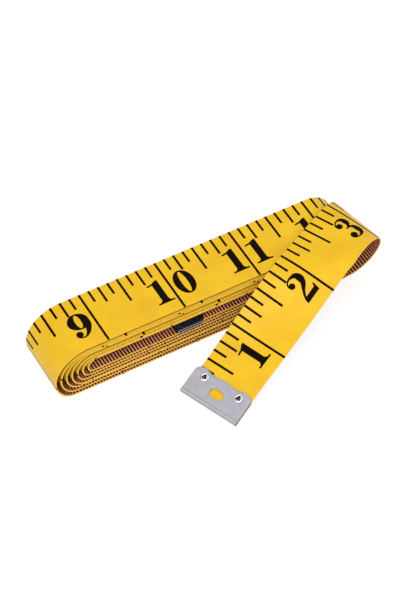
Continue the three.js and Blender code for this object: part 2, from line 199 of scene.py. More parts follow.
class Finishes(bpy.types.PropertyGroup):
    """Colours of the tape, its print and its metal."""

    coat: colour("Coat", "Yellow of the coated tape", (0.875, 0.55, 0.005, 1))
    coat_deep: colour("Deep Coat", "Yellow where the coat lies thicker", (0.778, 0.425, 0.003, 1))
    # The inner face's salmon is partly its own colour and partly painted shade: it is pushed redder to stand for the
    # reddish shade inside the turns.
    back: colour("Back", "Inner face of the tape", (0.80, 0.32, 0.16, 1))
    cut: colour("Cut", "Cut edge of the tape", (0.88, 0.52, 0.04, 1))
    ink: colour("Ink", "Printing ink", (0.006, 0.0025, 0.001, 1))
    ink_worn: colour("Worn Ink", "Printing ink where it is thin", (0.014, 0.006, 0.003, 1))
    metal: colour("Metal", "Nickelled sheet", (0.41, 0.402, 0.438, 1))
    metal_dull: colour("Dull Metal", "Nickelled sheet where it is handled", (0.37, 0.362, 0.395, 1))
    # The sheared colours are painted shade: dark so that the outer metal's cut edges and bevels draw a shaded outline;
    # the second is mixed in by patches.
    sheared: colour("Sheared Metal", "Cut edge of the sheet", (0.11, 0.10, 0.09, 1))
    sheared_dull: colour("Dull Sheared Metal", "Cut edge of the sheet where it is dirty", (0.05, 0.045, 0.035, 1))
    # The black colours are painted shade: they stand for metal lying in the dark inside the bundle; the second is mixed
    # in by patches.
    black: colour("Black Metal", "Blackened sheet of the inner end", (0.012, 0.011, 0.016, 1))
    black_worn: colour("Worn Black Metal", "Blackened sheet where it is rubbed", (0.05, 0.048, 0.055, 1))
    rim: colour("Rim", "Rolled rim of a rivet", (0.86, 0.86, 0.88, 1))
    # The hollow's near black is painted shade inside the rivets.
    hollow: colour("Hollow", "Inside of a rivet", (0.02, 0.02, 0.022, 1))


Row = namedtuple("Row", "s_front s_back front back normal")


def skewed(along, across, skew):
    """A place on the strip, counted past a skewed line and then along that line."""
    return along * math.cos(skew) + across * math.sin(skew), along * math.sin(skew) - across * math.cos(skew)


def eased(share):
    return share * share * (3 - 2 * share)


class TapeRoute:
    """Where the tape lies: s runs along it from its outer end, and rows cross it from front to back edge."""

    def __init__(self, tape, metal):
        self.tape = tape
        self.half_width = tape.width / 2
        self.half_thickness = tape.thickness / 2
        self.turn_count = len(tape.top_gaps) + 1
        self.height = tape.eye_height + self._stack(tape.top_gaps) + self._stack(tape.bottom_gaps)
        self.metal_half = self.half_thickness + metal.fit + metal.sheet
        self.metal_width = tape.width + 2 * metal.overhang
        self.metal_shift = metal.shift
        self.twist_end = metal.lobe + tape.twist_rest
        self.setback = metal.sheet + metal.fit
        self.loop_radius = (self.height + tape.tail_rise) / 2
        self.loop_length = math.pi * self.loop_radius
        self.bend_length = self.loop_length / tape.bend_count
        self.crown_start = self._crown_start()
        self.crown_angle = self._crown_angle()
        self.stations = self._side_view()
        self.inner_s = self.stations[-1][0]

    def _stack(self, between):
        return sum(between) + (len(between) + 1) * self.tape.thickness

    def _crown_start(self):
        tape, skew, half = self.tape, self.tape.fold_skew, self.half_width
        turn = math.sin(skew), math.cos(skew)
        cross = math.sin(tape.crown_skew), math.cos(tape.crown_skew)
        crossing = (half * math.cos(2 * skew) + self.loop_length * turn[0] + half) / math.sin(2 * skew)
        lead = math.sqrt(2 * tape.crown_radius * (tape.tail_rise - tape.tail_clearance))
        ends = [
            (self.loop_length - y * turn[0]) / turn[1] * cross[1] + y * cross[0] for y in (-half, half)
        ]
        return max(*ends, crossing * cross[1] + half * cross[0] - lead)

    def _crown_angle(self):
        """Dip that brings the outer metal's lowest corner down to the table."""
        low, high = 0.0, STEEPEST_DIP
        while high - low > DIP_TOLERANCE:
            middle = (low + high) / 2
            corners = (
                self.tail_point(self.tape.tail_length, self.metal_shift + side * self.metal_width / 2, middle)
                for side in (-1, 1)
            )
            lowest = min(point.z - self.metal_half * normal.z for point, normal in corners)
            low, high = (middle, high) if lowest > self.tape.table_clearance else (low, middle)
        return low

    def loop_point(self, along, across):
        tape, skew = self.tape, self.tape.fold_skew
        distance, aside = skewed(along, across, skew)
        turn = min(max(distance, 0), self.loop_length) / self.loop_radius
        run = min(distance, 0) + self.loop_radius * math.sin(turn)
        point = Vector((
            tape.loop_x + run * math.cos(skew) + aside * math.sin(skew),
            run * math.sin(skew) - aside * math.cos(skew),
            self.half_thickness + self.loop_radius * (1 - math.cos(turn)),
        ))
        normal = Vector((math.sin(turn) * math.cos(skew), math.sin(turn) * math.sin(skew), -math.cos(turn)))
        return point, normal

    def _dipped_point(self, along, across, dip_angle):
        tape, skew = self.tape, self.tape.crown_skew
        distance, aside = skewed(along, across, skew)
        turn = min(max(distance - self.crown_start, 0) / tape.crown_radius, dip_angle)
        rest = max(distance - self.crown_start - tape.crown_radius * dip_angle, 0)
        run = min(distance, self.crown_start) + tape.crown_radius * math.sin(turn) + rest * math.cos(dip_angle)
        dip = tape.crown_radius * (1 - math.cos(turn)) + rest * math.sin(dip_angle)
        heading = math.pi + 2 * tape.fold_skew - skew
        foot_x = tape.loop_x + self.loop_length * math.cos(tape.fold_skew)
        foot_y = self.loop_length * math.sin(tape.fold_skew)
        point = Vector((
            foot_x + run * math.cos(heading) - aside * math.sin(heading),
            foot_y + run * math.sin(heading) + aside * math.cos(heading),
            self.half_thickness + 2 * self.loop_radius - dip,
        ))
        normal = Vector((math.sin(turn) * math.cos(heading), math.sin(turn) * math.sin(heading), math.cos(turn)))
        return point, normal

    def tail_point(self, along, across, dip_angle=None):
        """A point of the tail, dipped over the crown and twisted about its middle line."""
        tape = self.tape
        dip_angle = self.crown_angle if dip_angle is None else dip_angle
        middle = self._dipped_point(along, 0, dip_angle)[0]
        ahead = self._dipped_point(along + TWIST_PROBE, 0, dip_angle)[0]
        share = (tape.twist_start - (tape.tail_length - along)) / (tape.twist_start - self.twist_end)
        share = min(max(share, 0), 1)
        twist = Matrix.Rotation(tape.tail_twist * eased(share), 3, ahead - middle)
        point, normal = self._dipped_point(along, across, dip_angle)
        return middle + twist @ (point - middle), twist @ normal

    def _row(self, place, alongs):
        (front, front_normal), (back, back_normal) = (
            place(along, across) for along, across in zip(alongs, (-self.half_width, self.half_width))
        )
        s_front, s_back = (self.tape.tail_length - along for along in alongs)
        return Row(s_front, s_back, front, back, (front_normal + back_normal).normalized())

    def _skew_row(self, place, skew, distance):
        alongs = [
            (distance - across * math.sin(skew)) / math.cos(skew) for across in (-self.half_width, self.half_width)
        ]
        return self._row(place, alongs)

    def loop_row(self, distance):
        return self._skew_row(self.loop_point, self.tape.fold_skew, distance)

    def loop_rows(self, bend, steps=LOOP_STEPS):
        """One bend's stretch of the loop, in order of rising s."""
        return [self.loop_row(self.bend_length * (bend + 1 - i / steps)) for i in range(steps + 1)]

    def tail_rows(self, steps=TAIL_STEPS):
        """The tail from its outer end up to the loop: flat in the metal, twisted, dipped and flat again."""
        tip = [self.tape.tail_length - self.setback] * 2
        end = self.crown_start + self.tape.crown_radius * self.crown_angle
        crown = [
            self._skew_row(self.tail_point, self.tape.crown_skew, end + (self.crown_start - end) * i / steps)
            for i in range(steps + 1)
        ]
        rest = self.tape.tail_length - self.twist_end
        feet = [self.tape.tail_length - crown[0].s_front, self.tape.tail_length - crown[0].s_back]
        twist = [
            self._row(self.tail_point, [rest + (foot - rest) * i / steps for foot in feet]) for i in range(steps)
        ]
        return [self._row(self.tail_point, tip), *twist, *crown, self.loop_row(self.loop_length)]

    def bottom_z(self, turn):
        if turn < self.turn_count:
            return self._stack(self.tape.bottom_gaps[:turn]) - self.half_thickness
        return self.bottom_z(turn - 1) + self.tape.seat

    def top_z(self, turn):
        return self.height + self.half_thickness - self._stack(self.tape.top_gaps[:turn])

    def _side_view(self, steps=NOSE_STEPS):
        """Stations of the bundle's side view: s, x, z and the way of travel."""
        tape = self.tape
        walk = []

        def nose(side, tip, tip_z, start, end):
            upward = math.copysign(1, end[0] - start[0])
            for i in range(steps + 1):
                turn = math.pi * i / steps
                z, reach = start if i < steps / 2 else end
                rise = abs(z - tip_z) * upward
                way = Vector((side * reach * math.cos(turn), rise * math.sin(turn))).normalized()
                walk.append((tip - side * reach * (1 - math.sin(turn)), tip_z - rise * math.cos(turn), way))

        for turn in range(self.turn_count):
            low, high, after = self.bottom_z(turn), self.top_z(turn), self.bottom_z(turn + 1)
            rise = high - low
            nose(
                -1, tape.left_tip_x + turn * tape.left_tuck, low + tape.left_tip_height * rise,
                (low, tape.left_lower * rise), (high, tape.left_upper * rise),
            )
            reach = tape.right_stretch * (high - after) / 2
            tip = tape.right_nose_x - turn * tape.right_tuck + reach
            nose(1, tip, (high + after) / 2, (high, reach), (after, reach))
        walk.append((tape.inner_end_x + self.setback, self.bottom_z(self.turn_count), Vector((-1, 0))))
        s, before = tape.tail_length, Vector((tape.loop_x, self.bottom_z(0)))
        stations = []
        for x, z, way in walk:
            s += (Vector((x, z)) - before).length
            before = Vector((x, z))
            stations.append((s, x, z, way))
        return stations

    def bundle_rows(self):
        rows = [self.loop_row(0)]
        for s, x, z, way in self.stations:
            front, back = Vector((x, -self.half_width, z)), Vector((x, self.half_width, z))
            rows.append(Row(s, s, front, back, Vector((-way.y, 0, way.x))))
        return rows

    def outer_frame(self):
        """Place of the outer end: X along the tape into it, Z out of the inch face."""
        end, normal = self.tail_point(self.tape.tail_length, self.metal_shift)
        inward = (self.tail_point(self.tape.tail_length - MILLIMETRE, self.metal_shift)[0] - end).normalized()
        return self._end_frame(end, inward, normal)

    def inner_frame(self):
        end = Vector((self.tape.inner_end_x, 0, self.bottom_z(self.turn_count)))
        return self._end_frame(end, Vector((1, 0, 0)), Vector((0, 0, 1)))

    def ends(self):
        """Both ends of the tape: name, body and place."""
        return ("start", "tail", self.outer_frame()), ("end", "bundle", self.inner_frame())

    @staticmethod
    def _end_frame(end, inward, normal):
        across = normal.cross(inward).normalized()
        return Matrix.Translation(end) @ Matrix((inward, across, normal)).transposed().to_4x4()


def tape_route(context):
    return TapeRoute(context.scene.tape_sizes, context.scene.metal_sizes)


def new_object(context, name, mesh):
    piece = bpy.data.objects.new(name, mesh)
    context.scene.collection.objects.link(piece)
    return piece


def mesh_from(name, points, faces):
    mesh = bpy.data.meshes.new(name)
    mesh.from_pydata(points, [], faces)
    mesh.update()
    return mesh


def smooth(mesh, degrees=30):
    mesh.polygons.foreach_set("use_smooth", [True] * len(mesh.polygons))
    mesh.set_sharp_from_angle(angle=math.radians(degrees))


def plain(piece):
    """The piece's evaluated mesh put in place of its modifiers."""
    graph = bpy.context.evaluated_depsgraph_get()
    mesh = bpy.data.meshes.new_from_object(piece.evaluated_get(graph))
    before, name = piece.data, piece.name
    piece.modifiers.clear()
    piece.data = mesh
    bpy.data.meshes.remove(before)
    mesh.name = name
    return piece


def place(tree, kind, inputs=None, **values):
    """A node with its settings, its inputs given as values or as other nodes' outputs."""
    node = tree.nodes.new(kind)
    for key, value in values.items():
        setattr(node, key, value)
    for key, value in (inputs or {}).items():
        if isinstance(value, bpy.types.NodeSocket):
            tree.links.new(value, node.inputs[key])
        else:
            node.inputs[key].default_value = value
    return node


def calculate(tree, operation, *values):
    return place(tree, "ShaderNodeMath", dict(enumerate(values)), operation=operation).outputs[0]


def vector(tree, *parts):
    return place(tree, "ShaderNodeCombineXYZ", dict(enumerate(parts))).outputs[0]


def parts_of(tree, value):
    return place(tree, "ShaderNodeSeparateXYZ", {0: value}).outputs


def geometry_tree(name, inputs):
    """A tree that takes and gives geometry, with named inputs, and its group input node's outputs."""
    tree = bpy.data.node_groups.new(name, "GeometryNodeTree")
    tree.interface.new_socket("Geometry", in_out="INPUT", socket_type="NodeSocketGeometry")
    for label, kind in inputs.items():
        tree.interface.new_socket(label, in_out="INPUT", socket_type="NodeSocket" + kind)
    tree.interface.new_socket("Geometry", in_out="OUTPUT", socket_type="NodeSocketGeometry")
    return tree, tree.nodes.new("NodeGroupInput").outputs


def shape_of(tree, thing):
    return place(tree, "GeometryNodeObjectInfo", {"Object": thing}).outputs["Geometry"]


def in_a_row(tree, thing, count, start, pace, **more):
    """Copies of an object's shape on a line of points."""
    line = place(tree, "GeometryNodeMeshLine", {"Count": count, "Start Location": start, "Offset": pace}, mode="OFFSET")
    copies = {"Points": line.outputs[0], "Instance": shape_of(tree, thing), **more}
    return place(tree, "GeometryNodeInstanceOnPoints", copies).outputs[0]


def named(tree, name, kind="FLOAT_VECTOR"):
    return place(tree, "GeometryNodeInputNamedAttribute", {"Name": name}, data_type=kind).outputs[0]


def end_tree(tree, geometry, *finishes):
    """The geometry made real, given its materials and put out of the tree."""
    shown = place(tree, "GeometryNodeRealizeInstances", {0: geometry}).outputs[0]
    for finish in finishes:
        shown = place(tree, "GeometryNodeSetMaterial", {"Geometry": shown, **finish}).outputs[0]
    place(tree, "NodeGroupOutput", {"Geometry": shown})
    return tree


def add_tree(piece, tree, values):
    """A modifier that runs the tree, each input set through its own identifier."""
    modifier = piece.modifiers.new(tree.name, "NODES")
    modifier.node_group = tree
    for item in tree.interface.items_tree:
        if item.in_out == "INPUT" and item.name in values:
            modifier[item.identifier] = values[item.name]


# Materials

MIX_FIRST, MIX_SECOND, MIX_RESULT = 6, 7, 2  # colour sockets of a Mix node
RANGE_LIMITS = ("From Min", "From Max", "To Min", "To Max")

# The coat over the cloth, in millimetres: its weave, the scale and detail of slubs and clouds, what they add to its
# relief and tone, and how these look. A cut edge's look fades over the margin.
WEAVE = {"Pitch": 0.45, "Unevenness": 0.5}
SLUBS, CLOUDS = (0.8, 4.0), (0.11, 3.0)
THREAD_RELIEF, THREAD_TONE, SLUB_TONE, CLOUD_TONE = 0.6, 0.12, 0.2, 0.75
COAT_TONE, COAT_ROUGH = (0.35, 0.75, 0.0, 1.0), (0.2, 0.9, 0.36, 0.52)
COAT_GLOSS, COAT_RELIEF = 0.35, (0.12, 0.00006)
CUT_MARGIN = (0.03, 0.25)

# Handling marks: their usual scales, their detail and how scuffs are drawn out along the grain.
MARK_SCALES = {"Patch Scale": 300.0, "Scuff Scale": 1500.0}
PATCH_DETAIL, SCUFF_DETAIL, SCUFF_GRAIN = 4.0, 5.0, (0.15, 1.0, 1.0)

# Finishes with handling marks. Scales are those of the patches and of the scuffs, on the unrolled strip in
# millimetres or on the object in metres. A range runs from a mark's low and high to what it gives there: the share
# of the second colour, or the roughness. Relief is the strength and depth of the scuffs.
MarkedFinish = namedtuple("MarkedFinish", "on_strip scales colours tint rough shader relief", defaults=[None])
MARKED_FINISHES = {
    # Printing ink, thin where the weave lifts it
    "printing ink": MarkedFinish(
        False, (260.0, 2600.0), ("ink", "ink_worn"), ("Scuffs", 0.45, 0.75, 0.0, 1.0),
        ("Patches", 0.3, 0.7, 0.5, 0.65), {"Specular IOR Level": 0.03}, (0.1, 0.00003),
    ),
    # A fine roll grain across, with dull patches from handling
    "nickelled sheet": MarkedFinish(
        True, (0.35, 4.0), ("metal", "metal_dull"), ("Patches", 0.35, 0.7, 0.0, 1.0),
        ("Scuffs", 0.25, 0.75, 0.36, 0.46), {"Metallic": 1.0}, (0.05, 0.00002),
    ),
    # Cut edges of the sheet and the bevels beside them, painted dark as shade that outlines the plate and its windows,
    # darker in patches
    "sheared edge": MarkedFinish(
        True, (0.9, 6.0), ("sheared", "sheared_dull"), ("Patches", 0.35, 0.65, 0.0, 1.0),
        ("Scuffs", 0.25, 0.75, 0.45, 0.65), {"Metallic": 0.7},
    ),
    # Near black: painted shade for the inner end's plate lying in the dark of the bundle, a little paler in patches
    "blackened sheet": MarkedFinish(
        True, (0.5, 5.0), ("black", "black_worn"), ("Patches", 0.45, 0.75, 0.0, 1.0),
        ("Scuffs", 0.25, 0.75, 0.3, 0.45), {"Specular IOR Level": 0.3}, (0.06, 0.00002),
    ),
    # Rolled rims of the rivets, with fine scuffs
    "bright rim": MarkedFinish(
        False, (900.0, 5000.0), ("rim", "metal"), ("Patches", 0.35, 0.7, 0.0, 1.0),
        ("Scuffs", 0.25, 0.75, 0.14, 0.3), {"Metallic": 1.0},
    ),
    # Inside of a rivet, near black as painted shade in the hollow, a little paler in patches
    "rivet hollow": MarkedFinish(
        False, (1500.0, 4000.0), ("hollow", "metal_dull"), ("Patches", 0.4, 0.8, 0.0, 0.4),
        ("Scuffs", 0.25, 0.75, 0.5, 0.7), {"Metallic": 0.6},
    ),
}


def shader_group(name, inputs, outputs):
    """A shader group with a vector, named values and their defaults, its inputs and its outputs."""
    tree = bpy.data.node_groups.new(name, "ShaderNodeTree")
    tree.interface.new_socket("Vector", in_out="INPUT", socket_type="NodeSocketVector")
    for label, default in inputs.items():
        socket = tree.interface.new_socket(label, in_out="INPUT", socket_type="NodeSocketFloat")
        socket.default_value = default
    for label in outputs:
        tree.interface.new_socket(label, in_out="OUTPUT", socket_type="NodeSocketFloat")
    return tree, tree.nodes.new("NodeGroupInput").outputs, tree.nodes.new("NodeGroupOutput").inputs


def noise(tree, spot, scale, detail):
    return place(tree, "ShaderNodeTexNoise", {"Vector": spot, "Scale": scale, "Detail": detail}).outputs["Fac"]


def cloth_group():
    """Weave that shows through a coat: its relief and its tone, on a map in millimetres."""
    tree, given, made = shader_group("cloth weave", WEAVE, ("Relief", "Tone"))
    spot = parts_of(tree, given["Vector"])
    rate = calculate(tree, "DIVIDE", math.pi, given["Pitch"])
    warp, weft = (calculate(tree, "SINE", calculate(tree, "MULTIPLY", spot[axis], rate)) for axis in "XY")
    threads = calculate(tree, "MULTIPLY_ADD", calculate(tree, "MULTIPLY", warp, weft), 0.5, 0.5)
    slub, cloud = (noise(tree, given["Vector"], *kind) for kind in (SLUBS, CLOUDS))
    uneven = calculate(tree, "MULTIPLY", slub, given["Unevenness"])
    tree.links.new(calculate(tree, "MULTIPLY_ADD", threads, THREAD_RELIEF, uneven), made["Relief"])
    lined = calculate(tree, "MULTIPLY", threads, THREAD_TONE)
    mottled = calculate(tree, "MULTIPLY_ADD", cloud, CLOUD_TONE, lined)
    tree.links.new(calculate(tree, "MULTIPLY_ADD", slub, SLUB_TONE, mottled), made["Tone"])
    return tree


def handling_group():
    """Fine scuffs and dull patches left by handling."""
    found = bpy.data.node_groups.get("handling marks")
    if found:
        return found
    tree, given, made = shader_group("handling marks", MARK_SCALES, ("Patches", "Scuffs"))
    grain = place(tree, "ShaderNodeMapping", {"Vector": given["Vector"], "Scale": SCUFF_GRAIN}).outputs[0]
    tree.links.new(noise(tree, given["Vector"], given["Patch Scale"], PATCH_DETAIL), made["Patches"])
    tree.links.new(noise(tree, grain, given["Scuff Scale"], SCUFF_DETAIL), made["Scuffs"])
    return tree


def blank_material(name):
    material = bpy.data.materials.new(name)
    material.use_nodes = True
    tree = material.node_tree
    return material, tree, tree.nodes["Principled BSDF"].inputs


def use_group(tree, group, inputs):
    return place(tree, "ShaderNodeGroup", inputs, node_tree=group).outputs


def strip_map(tree):
    return place(tree, "ShaderNodeUVMap", uv_map="strip").outputs["UV"]


def mixed(tree, share, first, second):
    colours = {"Factor": share, MIX_FIRST: first, MIX_SECOND: second}
    return place(tree, "ShaderNodeMix", colours, data_type="RGBA").outputs[MIX_RESULT]


def spread(tree, value, *limits):
    """A value's range, given by its first two limits, spread from the third limit to the fourth."""
    ranges = dict(zip(RANGE_LIMITS, limits))
    return place(tree, "ShaderNodeMapRange", {"Value": value, **ranges}).outputs["Result"]


def relief(tree, shader, height, strength, distance):
    bump = place(tree, "ShaderNodeBump", {"Height": height, "Strength": strength, "Distance": distance})
    tree.links.new(bump.outputs["Normal"], shader["Normal"])


def coat_material(context):
    """Yellow vinyl over cloth: the weave shows faintly, the inner face is salmon pushed redder as painted shade between
    the turns, and the cut edges are dull.
    """
    found = bpy.data.materials.get("yellow coat")
    if found:
        return found
    finish = context.scene.finishes
    material, tree, shader = blank_material("yellow coat")
    strip = strip_map(tree)
    cloth = use_group(tree, cloth_group(), {"Vector": strip, **WEAVE})
    face = mixed(tree, spread(tree, cloth["Tone"], *COAT_TONE), finish.coat, finish.coat_deep)
    inner = place(tree, "ShaderNodeAttribute", attribute_name="inner_face").outputs["Fac"]
    # The inner faces take the back colour, which is partly painted shade.
    face = mixed(tree, inner, face, finish.back)
    across = parts_of(tree, strip)["Y"]
    width = context.scene.tape_sizes.width / MILLIMETRE
    margin = calculate(tree, "MINIMUM", across, calculate(tree, "SUBTRACT", width, across))
    cut = spread(tree, margin, *CUT_MARGIN, 1.0, 0.0)
    tree.links.new(mixed(tree, cut, face, finish.cut), shader["Base Color"])
    tree.links.new(spread(tree, cloth["Relief"], *COAT_ROUGH), shader["Roughness"])
    shader["Specular IOR Level"].default_value = COAT_GLOSS
    relief(tree, shader, cloth["Relief"], *COAT_RELIEF)
    return material


def marked_material(context, name):
    """A finish with handling marks, built on its first use."""
    found = bpy.data.materials.get(name)
    if found:
        return found
    kind = MARKED_FINISHES[name]
    material, tree, shader = blank_material(name)
    spot = strip_map(tree) if kind.on_strip else place(tree, "ShaderNodeTexCoord").outputs["Object"]
    marks = use_group(tree, handling_group(), {"Vector": spot, **dict(zip(MARK_SCALES, kind.scales))})
    (tint, *tint_range), (rough, *rough_range) = kind.tint, kind.rough
    first, second = (getattr(context.scene.finishes, name) for name in kind.colours)
    tree.links.new(mixed(tree, spread(tree, marks[tint], *tint_range), first, second), shader["Base Color"])
    tree.links.new(spread(tree, marks[rough], *rough_range), shader["Roughness"])
    for socket, value in kind.shader.items():
        shader[socket].default_value = value
    if kind.relief:
        relief(tree, shader, marks["Scuffs"], *kind.relief)
    return material


# Tape


def tape_mesh(name, rows, tape, columns):
    """A closed strip through the rows, with chamfered edges and a map of it unrolled, in millimetres."""
    half, edge = tape.thickness / 2, tape.edge
    wide, inset = tape.width / MILLIMETRE, edge / MILLIMETRE
    shares = [i / columns for i in range(columns + 1)]
    points, spots = [], []
    for row in rows:
        across = (row.back - row.front).normalized() * edge
        lift, rise = row.normal * half, row.normal * (half - edge)
        line = [(row.front + across).lerp(row.back - across, share) for share in shares]
        points += [
            *(point + lift for point in line), row.back + rise, row.back - rise,
            *(point - lift for point in reversed(line)), row.front - rise, row.front + rise,
        ]
        front, back = row.s_front / MILLIMETRE, row.s_back / MILLIMETRE
        flat = [(front + (back - front) * share, inset + (wide - 2 * inset) * share) for share in shares]
        spots += [*flat, (back, wide), (back, wide), *reversed(flat), (front, 0), (front, 0)]
    beneath = range(columns + 3, 2 * columns + 3)
    ring = 2 * columns + 6
    faces = [tuple(range(ring))]
    for start in range(0, (len(rows) - 1) * ring, ring):
        for side in range(ring):
            a, b = start + side, start + (side + 1) % ring
            faces.append((a, a + ring, b + ring, b))
    faces.append(tuple(reversed(range(len(points) - ring, len(points)))))
    mesh = mesh_from(name, points, faces)
    strip = mesh.uv_layers.new(name="strip")
    for loop in mesh.loops:
        strip.data[loop.index].uv = spots[loop.vertex_index]
    inner = mesh.attributes.new("inner_face", "FLOAT", "FACE")
    for face in mesh.polygons:
        inner.data[face.index].value = float(len(face.vertices) == 4 and (face.index - 1) % ring in beneath)
    smooth(mesh)
    return mesh


def tape_piece(context, name, rows, columns=1):
    piece = new_object(context, name, tape_mesh(name, rows, context.scene.tape_sizes, columns))
    piece.data.materials.append(coat_material(context))
    return piece


def blend_bend(piece, route, bend):
    """Works out the points at both ends of the bend without using them, and bakes the piece's place into its mesh."""
    skew = route.tape.fold_skew
    for distance in (route.bend_length * bend, route.bend_length * (bend + 1)):
        along, across = distance * math.cos(skew), distance * math.sin(skew)
        route.loop_point(along, across)[0]
    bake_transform(piece)


class TAPE_OT_wound_tape(bpy.types.Operator):
    """Winds the tape flat into its bundle"""

    bl_idname = "tape_measure.wound_tape"
    bl_label = "Wound Tape"

    def execute(self, context):
        piece = tape_piece(context, "wound_tape", tape_route(context).bundle_rows())
        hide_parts("tape_bundle")
        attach(piece, "bundle")
        return {"FINISHED"}


class TAPE_OT_loop_tape(bpy.types.Operator):
    """Folds the outer turn over the right end, one piece for each bend"""

    bl_idname = "tape_measure.loop_tape"
    bl_label = "Loop"

    def execute(self, context):
        route = tape_route(context)
        for bend in range(route.tape.bend_count):
            piece = tape_piece(context, LOOP_TAPE.format(bend), route.loop_rows(bend))
            if bend:
                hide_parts(f"tape_loop_{bend}")
            blend_bend(piece, route, bend)
        return {"FINISHED"}


class TAPE_OT_tail_tape(bpy.types.Operator):
    """Lays the free end over the bundle and down to the table"""

    bl_idname = "tape_measure.tail_tape"
    bl_label = "Tail"

    def execute(self, context):
        piece = tape_piece(context, "tail_tape", tape_route(context).tail_rows(), TAIL_COLUMNS)
        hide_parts("tape_tail")
        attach(piece, "tail")
        return {"FINISHED"}


# Print

# Numerals on a height of 100: strokes as (x, y, thickness), balls as (x, y, radius), rings as
# (x, y, outer radii, inner radii) and slabs as corners.
NUMERAL_UNITS = 100
NUMERAL_TOP = 105
NUMERAL_BULGE = 4
NUMERAL_SPACE = 3
NUMERAL_WIDTHS = dict(zip("0123456789", (68, 62, 68, 62, 71, 62, 72, 66, 68, 72)))
NUMERAL_STEP, SMALL_STEP = 0.0007, 0.0008  # pieces that a numeral is cut into, to bend with the tape
STEP_ASPECT = 1.5
BALL_STEPS = 16
FILL_ALL, POINT_TOLERANCE = 0, 1e-5
RULE_LOW, RULE_HIGH, RULE_MARGIN = -6, 108, 6  # how far the cuts run past a numeral
NUMERALS = {
    "0": {"rings": [(34, 50, 34, 51, 10.5, 45)]},
    "1": {
        "slabs": [
            [(20, 0), (44, 0), (44, 100), (36, 100), (20, 92)],
            [(2, 83), (20, 85), (20, 92), (2, 89)],
            [(3, 0), (61, 0), (61, 6.5), (3, 6.5)],
            [(13, 6.5), (20, 6.5), (20, 14)],
            [(44, 6.5), (51, 6.5), (44, 14)],
        ]
    },
    "2": {
        "strokes": [
            [
                (6.5, 76, 5), (9.5, 88, 5.5), (20, 95.5, 6), (35, 95.5, 9), (50, 88, 18),
                (54.5, 73, 24), (48.5, 55, 18), (29.5, 38.5, 11), (16.5, 25, 8), (6, 8, 6),
            ],
        ],
        "balls": [(16, 75, 11)],
        "slabs": [[(1.5, 0), (63.5, 0), (68, 29), (63.5, 29), (58.5, 19), (18.5, 18.5), (6.5, 18)]],
    },
    "3": {
        "strokes": [
            [
                (6, 81, 5), (12, 92, 5), (28, 97.5, 6), (43, 90, 15),
                (47, 76, 22), (42, 62, 14), (31, 54, 6), (21, 52.5, 5),
            ],
            [
                (21, 52.5, 5), (37, 51, 7), (47, 42, 17), (50, 26, 24),
                (44, 10, 15), (28, 2.5, 6), (12, 6, 5), (4, 16, 5),
            ],
        ],
        "balls": [(15, 77, 11.5), (14.5, 19, 12.5)],
    },
    "4": {
        "strokes": [[(48, 97, 6), (26, 62, 6), (4, 29, 6)]],
        "slabs": [
            [(38, 0), (60, 0), (60, 100), (48, 100), (38, 84)],
            [(2, 25), (71, 25), (71, 31.5), (2, 31.5)],
            [(28, 0), (70, 0), (70, 6.5), (28, 6.5)],
        ],
    },
    "5": {
        "strokes": [
            [
                (9, 48, 5), (18, 58, 6), (34, 63, 8), (46, 52, 18), (50, 33, 24),
                (44, 12, 15), (28, 2.5, 6), (12, 6, 5), (4, 16, 5),
            ],
            [(12, 94, 9), (28, 90, 15), (42, 91, 14), (53, 96, 7), (57, 103, 3)],
        ],
        "balls": [(15, 20, 12)],
        "slabs": [[(8, 48), (13, 48), (17, 97), (11, 97)]],
    },
    "6": {
        "rings": [(36, 32.5, 36, 33.5, 10, 28)],
        "strokes": [[(12, 32, 22), (12, 53, 23), (21, 79, 15), (38, 96.5, 6.5), (56, 95, 5.5), (64, 86, 5)]],
        "balls": [(54.5, 82, 12)],
    },
    "7": {
        "strokes": [
            [(7, 88, 14), (22, 89, 19), (40, 88, 16), (62, 96, 5)],
            [(62, 96, 5), (50, 70, 9), (37, 44, 16), (31, 22, 22), (31, 1, 25)],
        ],
        "slabs": [[(3, 73), (7.5, 73), (8, 102), (3, 102)]],
    },
    "8": {"rings": [(34, 74.5, 28, 26, 11, 20.5), (34, 26, 34, 27, 13.5, 21)]},
    "9": {
        "rings": [(36, 67.5, 36, 33.5, 10, 28)],
        "strokes": [[(60, 68, 22), (60, 47, 23), (51, 21, 15), (34, 3.5, 6.5), (16, 5, 5.5), (8, 14, 5)]],
        "balls": [(17.5, 18, 12)],
    },
}


def rounded(knots, steps=5):
    """Points on a smooth line through the knots."""
    line = [knots[0], *knots, knots[-1]]
    points = []
    for i in range(1, len(line) - 2):
        a, b, c, d = (Vector(knot) for knot in line[i - 1:i + 3])
        square, cube = 2 * a - 5 * b + 4 * c - d, 3 * b - a - 3 * c + d
        for t in (step / steps for step in range(steps)):
            points.append(0.5 * (2 * b + (c - a) * t + square * t * t + cube * t ** 3))
    return [*points, Vector(knots[-1])]


def stroke_outline(knots):
    line = rounded(knots)
    left, right = [], []
    for i, knot in enumerate(line):
        way = (line[min(i + 1, len(line) - 1)] - line[max(i - 1, 0)]).xy.normalized()
        aside = Vector((-way.y, way.x)) * knot.z / 2
        left.append(knot.xy + aside)
        right.append(knot.xy - aside)
    return right + left[::-1]


def oval(x, y, wide, high, start=0.0, stop=2 * math.pi, steps=28):
    turns = [start + (stop - start) * i / steps for i in range(steps + 1)]
    return [Vector((x + wide * math.cos(turn), y + high * math.sin(turn))) for turn in turns]


